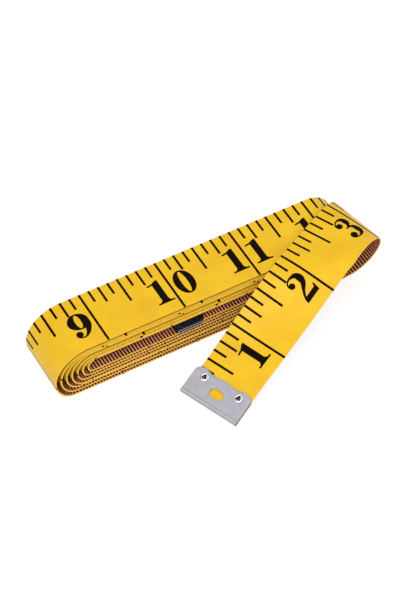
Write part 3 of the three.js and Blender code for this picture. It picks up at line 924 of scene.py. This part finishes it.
def numeral_outlines(character):
    shapes = NUMERALS[character]
    outlines = [[Vector(corner) for corner in slab] for slab in shapes.get("slabs", [])]
    outlines += [stroke_outline(knots) for knots in shapes.get("strokes", [])]
    outlines += [oval(x, y, r, r, steps=BALL_STEPS)[:-1] for x, y, r in shapes.get("balls", [])]
    for x, y, wide, high, hole_wide, hole_high in shapes.get("rings", []):
        for start in (-math.pi / 2, math.pi / 2):
            outer = oval(x, y, wide, high, start, start + math.pi)
            outlines.append(outer + oval(x, y, hole_wide, hole_high, start, start + math.pi)[::-1])
    return outlines


def cut_flat(outlines, holes, rules):
    """Triangles that fill the outlines but not the holes, split along the rules as well."""
    points, edges, faces = [], [], []
    for outline in (*outlines, *holes):
        area = sum(a.x * b.y - b.x * a.y for a, b in zip(outline, outline[1:] + outline[:1]))
        ring = list(outline) if area > 0 else list(outline)[::-1]
        faces.append(list(range(len(points), len(points) + len(ring))))
        points += ring
    for start, end in rules:
        edges.append((len(points), len(points) + 1))
        points += [Vector(start), Vector(end)]
    made, _, triangles, _, _, sources = delaunay_2d_cdt(points, edges, faces, FILL_ALL, POINT_TOLERANCE)
    filled = set(range(len(outlines)))
    return made, [tri for tri, source in zip(triangles, sources) if source and set(source) <= filled]


def numeral_shape(character, height, step):
    """A numeral's flat points and triangles at its real height, cut fine enough to bend."""
    wide, pace = NUMERAL_WIDTHS[character] + NUMERAL_BULGE, NUMERAL_UNITS * step / height
    columns = [x * pace for x in range(1, int(wide / pace) + 1)]
    levels = [y * STEP_ASPECT * pace for y in range(1, int(NUMERAL_TOP / STEP_ASPECT / pace))]
    rules = [((x, RULE_LOW), (x, RULE_HIGH)) for x in columns]
    rules += [((-RULE_MARGIN, y), (wide + RULE_MARGIN, y)) for y in levels]
    points, triangles = cut_flat(numeral_outlines(character), [], rules)
    return [point * height / NUMERAL_UNITS for point in points], triangles


def numeral_places(number, print_sizes):
    """Each figure of an inch numeral with the place of its left side, counted from the inch line."""
    text, scale = str(number), print_sizes.numeral / NUMERAL_UNITS
    if len(text) == 1:
        return [(text, -print_sizes.single_gap - NUMERAL_WIDTHS[text] * scale)]
    first, second = text
    return [(first, -print_sizes.before_gap - NUMERAL_WIDTHS[first] * scale), (second, print_sizes.after_gap)]


def numerals_mesh(tape, sizes, last):
    """All numerals up to the last place on the unrolled tape: inches outside, centimetres on its inner face."""
    points, faces = [], []

    def lay(shape, s, v, z, flip):
        start = len(points)
        spots, triangles = shape
        points.extend((s + spot.x, v + (-spot.y if flip else spot.y), z) for spot in spots)
        faces.extend([start + i for i in tri] for tri in triangles)

    height = tape.thickness / 2 + sizes.ink
    shapes = {figure: numeral_shape(figure, sizes.numeral, NUMERAL_STEP) for figure in NUMERALS}
    base = tape.width - sizes.numeral_inset - sizes.numeral
    for number in range(1, int(last / INCH) + 1):
        for figure, aside in numeral_places(number, sizes):
            lay(shapes[figure], number * INCH + aside, base, height, False)
    small = {figure: numeral_shape(figure, sizes.small, SMALL_STEP) for figure in NUMERALS}
    scale = sizes.small / NUMERAL_UNITS
    for number in range(2, int(last / CENTIMETRE) + 1):
        right = number * CENTIMETRE - sizes.fine_width
        for figure in reversed(str(number)):
            right -= (NUMERAL_WIDTHS[figure] + NUMERAL_SPACE) * scale
            lay(small[figure], right, sizes.small_inset + sizes.small, -height, True)
    return mesh_from("numerals", points, faces)


def line_mesh(name, from_edge, steps):
    """A line of unit size, its length split so that it can bend."""
    levels = [from_edge * i / steps for i in range(steps + 1)]
    points = [(x, y, 0) for y in levels for x in (-0.5, 0.5)]
    return mesh_from(name, points, [(2 * i + 2, 2 * i + 3, 2 * i + 1, 2 * i) for i in range(steps)])


# Ranks of printed lines, from the longest, and how many lines apart those of each rank stand.
RANKS = ("First", "Second", "Third")
INCH_RANKS, FINE_RANKS, NO_RANKS = (EIGHTHS, 4, 2), (10, 5, 1), (1, 1, 1)
INCH_LINE_STEPS, FINE_LINE_STEPS = 14, 4
EDGE_SHARE = 0.001  # share of the width beside each edge where the tape's place is not read
DAB_SHARE = 0.7  # how much of the tape's edge an inch line's dab covers
CUT_TOLERANCE = 1e-8


def marks_tree():
    """Lines at an even spacing, longer at each third, second and first rank."""
    tree, given = geometry_tree("ruled marks", {
        "Mark": "Object", "Count": "Int", "Spacing": "Float", "Edge": "Float", "Height": "Float", "Width": "Float",
        "Thickness": "Float", **{rank + " Every": "Int" for rank in RANKS}, **{rank: "Float" for rank in RANKS},
        "Other": "Float", "Material": "Material",
    })
    number = calculate(tree, "ADD", place(tree, "GeometryNodeInputIndex").outputs[0], 1.0)
    reach = given["Other"]
    for rank in reversed(RANKS):
        met = calculate(tree, "LESS_THAN", calculate(tree, "MODULO", number, given[rank + " Every"]), 0.5)
        choice = {"Switch": met, "False": reach, "True": given[rank]}
        reach = place(tree, "GeometryNodeSwitch", choice, input_type="FLOAT").outputs[0]
    start = vector(tree, given["Spacing"], given["Edge"], given["Height"])
    size = vector(tree, given["Width"], reach, given["Thickness"])
    marks = in_a_row(tree, given["Mark"], given["Count"], start, vector(tree, given["Spacing"]), Scale=size)
    joined = place(tree, "GeometryNodeJoinGeometry", {0: marks})
    tree.links.new(given["Geometry"], joined.inputs[0])
    return end_tree(tree, joined.outputs[0], {"Material": given["Material"]})


def laying_tree():
    """Flat print laid on the tape: read by its place on the unrolled tape and set off from its middle."""
    tree, given = geometry_tree("laid print", {
        "Tape": "Object", "Length": "Float", "Width": "Float", "Material": "Material",
    })
    position = place(tree, "GeometryNodeInputPosition").outputs[0]
    flat = parts_of(tree, position)
    over = calculate(tree, "DIVIDE", flat["Y"], given["Width"])
    share = place(tree, "ShaderNodeClamp", {"Value": over, "Min": EDGE_SHARE, "Max": 1 - EDGE_SHARE}).outputs[0]
    past = calculate(tree, "SUBTRACT", flat["Y"], calculate(tree, "MULTIPLY", share, given["Width"]))
    spot = vector(tree, calculate(tree, "DIVIDE", flat["X"], given["Length"]), share)
    tape, unrolled = shape_of(tree, given["Tape"]), named(tree, "unrolled")

    def read(value):
        surface = {"Mesh": tape, "Value": value, "UV Map": unrolled, "Sample UV": spot}
        return place(tree, "GeometryNodeSampleUVSurface", surface, data_type="FLOAT_VECTOR").outputs[0]

    def scaled(value, amount):
        return place(tree, "ShaderNodeVectorMath", {0: value, "Scale": amount}, operation="SCALE").outputs[0]

    def total(first, second):
        return place(tree, "ShaderNodeVectorMath", {0: first, 1: second}, operation="ADD").outputs[0]

    aside = total(scaled(read(named(tree, "outward")), flat["Z"]), scaled(read(named(tree, "across")), past))
    laid = {"Geometry": given["Geometry"], "Position": total(read(position), aside)}
    print_on = place(tree, "GeometryNodeSetPosition", laid).outputs[0]
    return end_tree(tree, print_on, {"Material": given["Material"]})


def middle_mesh(rows, whole, columns):
    """The middle of the tape through the rows, with its map unrolled and its directions stored."""
    shares = [i / columns for i in range(columns + 1)]
    points = [row.front.lerp(row.back, share) for row in rows for share in shares]
    line = columns + 1
    starts = [i * line + j for i in range(len(rows) - 1) for j in range(columns)]
    mesh = mesh_from("tape_middle", points, [(at, at + line, at + line + 1, at + 1) for at in starts])
    spots = [
        ((row.s_front + (row.s_back - row.s_front) * share) / whole, share) for row in rows for share in shares
    ]
    unrolled = mesh.uv_layers.new(name="unrolled")
    for loop in mesh.loops:
        unrolled.data[loop.index].uv = spots[loop.vertex_index]
    outward = mesh.attributes.new("outward", "FLOAT_VECTOR", "POINT")
    across = mesh.attributes.new("across", "FLOAT_VECTOR", "POINT")
    for vertex in range(len(points)):
        row = rows[vertex // line]
        outward.data[vertex].vector = row.normal
        across.data[vertex].vector = (row.back - row.front).normalized()
    return mesh


class TAPE_OT_print(bpy.types.Operator):
    """Prints inches on the outer face and centimetres on the inner face of the tape"""

    bl_idname = "tape_measure.print"
    bl_label = "Print"

    def execute(self, context):
        route = tape_route(context)
        tape = route.tape
        ink = marked_material(context, "printing ink")
        flat = self.flat_print(context, route, ink)
        whole = route.inner_s + route.setback
        laying = laying_tree()

        def lay(name, rows, near, far, columns=1):
            piece = new_object(context, name, self.stretch(flat, route, near, far))
            middle = new_object(context, "tape_middle", middle_mesh(rows, whole, columns))
            add_tree(piece, laying, {"Tape": middle, "Length": whole, "Width": tape.width, "Material": ink})
            plain(piece)
            bpy.data.objects.remove(middle)
            smooth(piece.data)
            return piece

        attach(lay("wound_print", route.bundle_rows(), None, 0), "bundle")
        for bend in range(tape.bend_count):
            near, far = route.bend_length * bend, route.bend_length * (bend + 1)
            blend_bend(lay(LOOP_PRINT.format(bend), route.loop_rows(bend), near, far), route, bend)
        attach(lay("tail_print", route.tail_rows(), route.loop_length, None, TAIL_COLUMNS), "tail")
        bpy.data.objects.remove(flat)
        self.declare(tape, route)
        return {"FINISHED"}

    @staticmethod
    def flat_print(context, route, ink):
        """The whole print on the unrolled tape, as one flat mesh."""
        tape, sizes = route.tape, context.scene.print_sizes
        numerals = numerals_mesh(tape, sizes, route.inner_s - context.scene.metal_sizes.lobe)
        flat = new_object(context, "flat_print", numerals)
        tree = marks_tree()
        dab = mesh_from("edge_dab", [(-0.5, 0, 0), (0.5, 0, 0), (0.5, 0, -1), (-0.5, 0, -1)], [(0, 3, 2, 1)])
        meshes = line_mesh("inch_line", -1, INCH_LINE_STEPS), line_mesh("fine_line", 1, FINE_LINE_STEPS), dab
        helpers = [new_object(context, mesh.name, mesh) for mesh in meshes]
        inch_line, fine_line, edge_dab = helpers
        lift = tape.thickness / 2 + sizes.ink
        eighths = int(route.inner_s / INCH * EIGHTHS) - 1
        fines = int(route.inner_s / MILLIMETRE) - 1

        def rule(mark, count, spacing, edge, height, width, reaches, every=NO_RANKS, thickness=1.0):
            add_tree(flat, tree, {
                "Mark": mark, "Count": count, "Spacing": spacing, "Edge": edge, "Height": height, "Width": width,
                "Thickness": thickness, **dict(zip((*RANKS, "Other"), reaches)),
                **{rank + " Every": step for rank, step in zip(RANKS, every)}, "Material": ink,
            })

        rule(
            inch_line, eighths, INCH / EIGHTHS, tape.width, lift, sizes.line_width,
            (tape.width, sizes.half, sizes.quarter, sizes.eighth), INCH_RANKS,
        )
        rule(
            fine_line, fines, MILLIMETRE, sizes.fine_inset, -lift, sizes.fine_width,
            (sizes.fine_ten, sizes.fine_five, sizes.fine, sizes.fine), FINE_RANKS,
        )
        rule(
            edge_dab, eighths // EIGHTHS, INCH, -sizes.ink, lift, sizes.line_width, (1.0, 1.0, 1.0, 1.0),
            thickness=tape.thickness * DAB_SHARE,
        )
        plain(flat)
        for helper in helpers:
            bpy.data.objects.remove(helper)
        return flat

    @staticmethod
    def stretch(flat, route, near, far):
        """The part of the flat print between two of the loop's lines."""
        skew = route.tape.fold_skew
        way = Vector((-math.cos(skew), math.sin(skew), 0))
        form = bmesh.new()
        form.from_mesh(flat.data)
        for distance, keep_past in ((near, True), (far, False)):
            if distance is None:
                continue
            along = (distance + (CUT_INSET if keep_past else -CUT_INSET)) / math.cos(skew)
            spot = Vector((route.tape.tail_length - along, route.half_width, 0))
            bmesh.ops.bisect_plane(
                form, geom=[*form.verts, *form.edges, *form.faces], plane_co=spot, plane_no=way,
                dist=CUT_TOLERANCE, clear_inner=keep_past, clear_outer=not keep_past,
            )
        mesh = bpy.data.meshes.new("stretch")
        form.to_mesh(mesh)
        form.free()
        return mesh

    @staticmethod
    def declare(tape, route):
        """Does nothing. The strip is one sheet, cut to its width and length, with the print on it."""


# Metal ends

FOLD_STEPS = 8
BEAD_LEAD = 0.3  # share of the bead's run that the round of the fold takes
SLOT_STEPS, HOLE_STEPS = 14, 20
BEVEL_WIDTH, BEVEL_SEGMENTS, BEVEL_ANGLE = 0.00006, 2, math.radians(50)
EVEN_WEIGHT = 100
FERRULE_SMOOTHING, RIVET_SMOOTHING = 180, 50  # degrees up to which an edge is shaded smooth
RIVET_STEPS = 36
HOLLOW_LOBES, HOLLOW_DEPTH = 3, 0.2
HOLLOW_LEVELS = 2
RIM_GAP = 0.00001
# Face and edge finishes of each end. The inner end's near-black face and the outer end's dark sheared edges are painted
# shade.
METAL_FINISHES = {"start": ("nickelled sheet", "sheared edge"), "end": ("blackened sheet", "nickelled sheet")}


def ferrule_outline(metal, half):
    """Outline of one plate: square at the fold, two lobes and a low bump at the open edge."""

    def corner(a, b, c):
        shares = [i / FOLD_STEPS for i in range(FOLD_STEPS + 1)]
        return [a * (1 - t) ** 2 + b * 2 * t * (1 - t) + c * t * t for t in shares]

    lobe = (half + metal.valley_offset) / 2
    wave = [
        (metal.lobe, -lobe, 0), (metal.valley, -metal.valley_offset, 0), (metal.bump, 0, 0),
        (metal.valley, metal.valley_offset, 0), (metal.lobe, lobe, 0),
    ]
    first = corner(Vector((metal.side, -half)), Vector((metal.lobe, -half)), Vector((metal.lobe, -lobe)))
    last = [Vector((point.x, -point.y)) for point in first[::-1]]
    return first + [point.xy for point in rounded(wave, FOLD_STEPS)[1:-1]] + last


class FoldProfile:
    """Side view of the middle of the sheet, from the fold's foremost line along the upper plate."""

    def __init__(self, metal, half):
        level = half - metal.sheet / 2
        radius = level + metal.bead
        centre = metal.sheet / 2 + radius
        points = [
            Vector((centre - radius * math.cos(turn), radius * math.sin(turn)))
            for turn in (math.pi / 2 * i / FOLD_STEPS for i in range(FOLD_STEPS + 1))
        ]
        for share in (i / FOLD_STEPS for i in range(1, FOLD_STEPS + 1)):
            run = (metal.bead_length - centre) * (BEAD_LEAD + (1 - BEAD_LEAD) * share)
            points.append(Vector((centre + run, radius - metal.bead * eased(share))))
        self.points, self.lengths = points, [0.0]
        for a, b in zip(points, points[1:]):
            self.lengths.append(self.lengths[-1] + (b - a).length)

    def unfolded(self, inset):
        return self.lengths[-1] + inset - self.points[-1].x

    def folded(self, distance):
        if distance >= self.lengths[-1]:
            return self.points[-1] + Vector((distance - self.lengths[-1], 0))
        i = next(i for i, reach in enumerate(self.lengths[1:]) if distance <= reach)
        share = (distance - self.lengths[i]) / (self.lengths[i + 1] - self.lengths[i])
        return self.points[i].lerp(self.points[i + 1], share)


def ferrule_mesh(name, route, metal):
    """The sheet cut flat with its windows, folded, and given its thickness later."""
    half = route.metal_width / 2
    profile = FoldProfile(metal, route.metal_half)
    edge = [Vector((profile.unfolded(point.x), point.y)) for point in ferrule_outline(metal, half)]
    outline = edge + [Vector((-point.x, point.y)) for point in edge[::-1]]
    span = half - metal.rivet_edge
    radius, hole = metal.slot_width / 2, metal.rivet_radius + metal.fit
    offset = metal.slot_length / 2 - radius
    holes = []
    for side in (1, -1):
        slot_x, rivet_x = (profile.unfolded(inset) * side for inset in (metal.slot_inset, metal.rivet_inset))
        holes.append(
            oval(slot_x, offset, radius, radius, 0, math.pi, SLOT_STEPS)
            + oval(slot_x, -offset, radius, radius, math.pi, 2 * math.pi, SLOT_STEPS)
        )
        holes += [oval(rivet_x, across, hole, hole, steps=HOLE_STEPS)[:-1] for across in (-span, span)]
    plate = profile.unfolded(metal.side)
    levels = [*profile.lengths, *(plate * i / FOLD_STEPS for i in range(FOLD_STEPS // 2, FOLD_STEPS + 1))]
    rules = [(Vector((level * side, -half)), Vector((level * side, half))) for level in levels for side in (1, -1)]
    scale = 1 / MILLIMETRE
    scaled = [[[point * scale for point in line] for line in lines] for lines in ([outline], holes, rules)]
    points, faces = cut_flat(*scaled)
    folded = []
    for point in points:
        flat = profile.folded(abs(point.x) / scale)
        folded.append((flat.x, point.y / scale, math.copysign(flat.y, point.x)))
    mesh = mesh_from(name, folded, faces)
    strip = mesh.uv_layers.new(name="strip")
    for loop in mesh.loops:
        strip.data[loop.index].uv = points[loop.vertex_index]
    smooth(mesh, FERRULE_SMOOTHING)
    return mesh


class TAPE_OT_ferrules(bpy.types.Operator):
    """Folds a metal end over each end of the tape"""

    bl_idname = "tape_measure.ferrules"
    bl_label = "Metal Ends"

    def execute(self, context):
        route, metal = tape_route(context), context.scene.metal_sizes
        for end, body, spot in route.ends():
            name = end + "_metal"
            piece = new_object(context, name, ferrule_mesh(name, route, metal))
            wall = piece.modifiers.new("Wall", "SOLIDIFY")
            wall.thickness, wall.offset, wall.use_even_offset = metal.sheet, 0, True
            # The cut edges and the bevels take the second finish, which on the outer end is dark painted shade
            # outlining the plate and its windows.
            wall.material_offset_rim = 1
            bevel = piece.modifiers.new("Bevel", "BEVEL")
            bevel.width, bevel.segments, bevel.material = BEVEL_WIDTH, BEVEL_SEGMENTS, 1
            bevel.limit_method, bevel.angle_limit = "ANGLE", BEVEL_ANGLE
            even = piece.modifiers.new("Even", "WEIGHTED_NORMAL")
            even.weight = EVEN_WEIGHT
            for finish in METAL_FINISHES[end]:
                piece.data.materials.append(marked_material(context, finish))
            plain(piece)
            piece.data.transform(spot)
            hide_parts(end + "_ferrule")
            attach(piece, body)
        return {"FINISHED"}


def rivet_mesh(route, metal):
    """A rolled tubular rivet: round rims on both sides and a hollow with three lobes."""
    seat, flange = route.metal_half, metal.flange
    top, foot = seat + flange, seat + RIM_GAP
    rim, bore, shank = metal.flange_radius, metal.rivet_bore, metal.rivet_radius
    # Radius, height and share of the lobes, from the floor of the hollow over the rim to the shank
    side = [
        (0, seat * 0.45, 0), (bore * 0.8, seat * 0.45, 0.6), (bore * 0.96, seat * 0.8, 1),
        (bore, seat + flange * 0.35, 1), (bore * 1.1, top - flange * 0.2, 0.8), (bore * 1.3, top, 0.3),
        (rim * 0.78, top, 0), (rim * 0.92, top - flange * 0.22, 0), (rim, top - flange * 0.6, 0),
        (rim * 0.97, foot, 0), (shank, foot, 0),
    ]
    profile = side + [(r, -z, lobe) for r, z, lobe in side[::-1]]
    points, faces, hollow = [], [], []
    for radius, z, lobe in profile:
        for i in range(1 if radius == 0 else RIVET_STEPS):
            turn = 2 * math.pi * i / RIVET_STEPS
            reach = radius * (1 + HOLLOW_DEPTH * lobe * math.cos(HOLLOW_LOBES * turn))
            points.append((reach * math.cos(turn), reach * math.sin(turn), z))
    last, levels = len(points) - 1, len(profile) - 3
    for i in range(RIVET_STEPS):
        j = (i + 1) % RIVET_STEPS
        faces.append((0, 1 + i, 1 + j))
        hollow.append(True)
        for level in range(levels):
            a, b = 1 + level * RIVET_STEPS, 1 + (level + 1) * RIVET_STEPS
            faces.append((a + i, b + i, b + j, a + j))
            hollow.append(level < HOLLOW_LEVELS or level >= levels - HOLLOW_LEVELS)
        faces.append((last, last - RIVET_STEPS + j, last - RIVET_STEPS + i))
        hollow.append(True)
    mesh = mesh_from("rivet", points, faces)
    mark = mesh.attributes.new("hollow", "BOOLEAN", "FACE")
    mark.data.foreach_set("value", hollow)
    smooth(mesh, RIVET_SMOOTHING)
    return mesh


def rivets_tree():
    """Two like rivets side by side, their hollows painted dark as shade."""
    tree, given = geometry_tree("rivet pair", {
        "Rivet": "Object", "Inset": "Float", "Span": "Float", "Rim": "Material", "Hollow": "Material",
    })
    start = vector(tree, given["Inset"], calculate(tree, "MULTIPLY", given["Span"], -0.5))
    pair = in_a_row(tree, given["Rivet"], 2, start, vector(tree, 0.0, given["Span"]))
    hollow = {"Selection": named(tree, "hollow", "BOOLEAN"), "Material": given["Hollow"]}
    return end_tree(tree, pair, {"Material": given["Rim"]}, hollow)


class TAPE_OT_rivets(bpy.types.Operator):
    """Rivets each metal end through the tape"""

    bl_idname = "tape_measure.rivets"
    bl_label = "Rivets"

    def execute(self, context):
        route, metal = tape_route(context), context.scene.metal_sizes
        tree = rivets_tree()
        rivet = new_object(context, "rivet", rivet_mesh(route, metal))
        for end, body, spot in route.ends():
            name = end + "_rivets"
            piece = new_object(context, name, bpy.data.meshes.new(name))
            add_tree(piece, tree, {
                "Rivet": rivet, "Inset": metal.rivet_inset, "Span": route.metal_width - 2 * metal.rivet_edge,
                "Rim": marked_material(context, "bright rim"), "Hollow": marked_material(context, "rivet hollow"),
            })
            plain(piece)
            piece.data.transform(spot)
            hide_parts(end + "_rivet_front", end + "_rivet_back")
            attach(piece, body)
        bpy.data.objects.remove(rivet)
        return {"FINISHED"}


# Stage

WHITE = (1, 1, 1, 1)
FLOOR_DROP, FLOOR_REACH = 0.00004, 4.0
FLOOR_COLOUR, SHADE_COLOUR, FLOOR_GLOW = (0.8, 0.8, 0.8, 1), (0.3, 0.3, 0.3, 1), 0.78
ROOM_LIGHT, ROOM_WHITE = 0.62, 1.0
LAMPS = (("key", (-0.45, -0.55, 0.9), 0.7, 6.5), ("fill", (0.6, -0.5, 0.6), 0.8, 1.6))
CAMERA_TURN, CAMERA_RISE, CAMERA_DISTANCE = math.radians(-29.09), math.radians(50.65), 0.8
SENSOR_WIDTH, NEAR_CLIP = 36, 0.01
IMAGE_LONG_SIDE, FOCAL_PIXELS, SHIFT_PIXELS = 601, 2648.35, (11.58, 16.97)


def facing_middle(spot):
    return Matrix.Translation(spot) @ spot.to_track_quat("Z", "Y").to_matrix().to_4x4()


def shown_ray(tree):
    """Whether a ray comes from the camera, or through a gloss or glass."""
    path = place(tree, "ShaderNodeLightPath").outputs
    seen = calculate(tree, "MAXIMUM", path["Is Camera Ray"], path["Is Glossy Ray"])
    return calculate(tree, "MAXIMUM", seen, path["Is Transmission Ray"])


class TAPE_OT_stage(bpy.types.Operator):
    """Sets the pale floor, the soft light and the camera"""

    bl_idname = "tape_measure.stage"
    bl_label = "Stage"

    def execute(self, context):
        self.floor(context)
        self.light(context)
        self.camera(context)
        context.scene.view_settings.view_transform = "Standard"
        return {"FINISHED"}

    @staticmethod
    def floor(context):
        level = CAD_BOX[0][2] - FLOOR_DROP
        corners = [(x * FLOOR_REACH, y * FLOOR_REACH, level) for x, y in ((-1, -1), (1, -1), (1, 1), (-1, 1))]
        floor = new_object(context, "floor", mesh_from("floor", corners, [(0, 1, 2, 3)]))
        material = bpy.data.materials.new("pale floor")
        material.use_nodes = True
        tree = material.node_tree
        tree.nodes.clear()
        lit = place(tree, "ShaderNodeBsdfDiffuse", {"Color": FLOOR_COLOUR}).outputs[0]
        shade = place(tree, "ShaderNodeBsdfDiffuse", {"Color": SHADE_COLOUR}).outputs[0]
        glow = place(tree, "ShaderNodeEmission", {"Color": WHITE, "Strength": FLOOR_GLOW}).outputs[0]
        bright = place(tree, "ShaderNodeAddShader", {0: shade, 1: glow}).outputs[0]
        either = place(tree, "ShaderNodeMixShader", {0: shown_ray(tree), 1: lit, 2: bright})
        place(tree, "ShaderNodeOutputMaterial", {"Surface": either.outputs[0]})
        floor.data.materials.append(material)

    @staticmethod
    def light(context):
        world = bpy.data.worlds.new("studio")
        world.use_nodes = True
        tree = world.node_tree
        tree.nodes.clear()
        soft, white = (
            place(tree, "ShaderNodeBackground", {"Color": WHITE, "Strength": strength}).outputs[0]
            for strength in (ROOM_LIGHT, ROOM_WHITE)
        )
        either = place(tree, "ShaderNodeMixShader", {0: shown_ray(tree), 1: soft, 2: white})
        place(tree, "ShaderNodeOutputWorld", {"Surface": either.outputs[0]})
        context.scene.world = world
        for name, spot, size, power in LAMPS:
            lamp = bpy.data.lights.new(name, "AREA")
            lamp.size, lamp.energy = size, power
            light = bpy.data.objects.new(name, lamp)
            light.matrix_world = facing_middle(Vector(spot))
            context.scene.collection.objects.link(light)

    @staticmethod
    def camera(context):
        level = math.cos(CAMERA_RISE)
        way = Vector((math.sin(CAMERA_TURN) * level, -math.cos(CAMERA_TURN) * level, math.sin(CAMERA_RISE)))
        view = bpy.data.cameras.new("camera")
        view.sensor_width = SENSOR_WIDTH
        view.lens = FOCAL_PIXELS * SENSOR_WIDTH / IMAGE_LONG_SIDE
        view.shift_x, view.shift_y = (shift / IMAGE_LONG_SIDE for shift in SHIFT_PIXELS)
        view.clip_start = NEAR_CLIP
        camera = bpy.data.objects.new("camera", view)
        camera.matrix_world = facing_middle(way * CAMERA_DISTANCE)
        context.scene.collection.objects.link(camera)
        context.scene.camera = camera


class TAPE_PT_panel(bpy.types.Panel):
    """Lists the steps that build the tape measure, and its main sizes"""

    bl_label = "Tape Measure"
    bl_idname = "TAPE_PT_panel"
    bl_space_type = "VIEW_3D"
    bl_region_type = "UI"
    bl_category = "Tape Measure"

    def draw(self, context):
        for operator in OPERATORS:
            self.layout.operator(operator.bl_idname)
        for pointer, group in GROUPS.items():
            for name in group.__annotations__:
                self.layout.prop(getattr(context.scene, pointer), name)


OPERATORS = (
    TAPE_OT_wound_tape, TAPE_OT_loop_tape, TAPE_OT_tail_tape, TAPE_OT_print,
    TAPE_OT_ferrules, TAPE_OT_rivets, TAPE_OT_stage,
)
GROUPS = {
    "tape_sizes": TapeSizes, "metal_sizes": MetalSizes, "print_sizes": PrintSizes, "finishes": Finishes,
}
CLASSES = (*GROUPS.values(), *OPERATORS, TAPE_PT_panel)


def register():
    for kind in CLASSES:
        bpy.utils.register_class(kind)
    for name, group in GROUPS.items():
        setattr(bpy.types.Scene, name, PointerProperty(type=group))


def unregister():
    for name in GROUPS:
        delattr(bpy.types.Scene, name)
    for kind in reversed(CLASSES):
        bpy.utils.unregister_class(kind)


def main():
    register()
    bpy.ops.tape_measure.wound_tape()
    bpy.ops.tape_measure.loop_tape()
    bpy.ops.tape_measure.tail_tape()
    bpy.ops.tape_measure.print()
    bpy.ops.tape_measure.ferrules()
    bpy.ops.tape_measure.rivets()
    bpy.ops.tape_measure.stage()


if __name__ == "__main__":
    main()
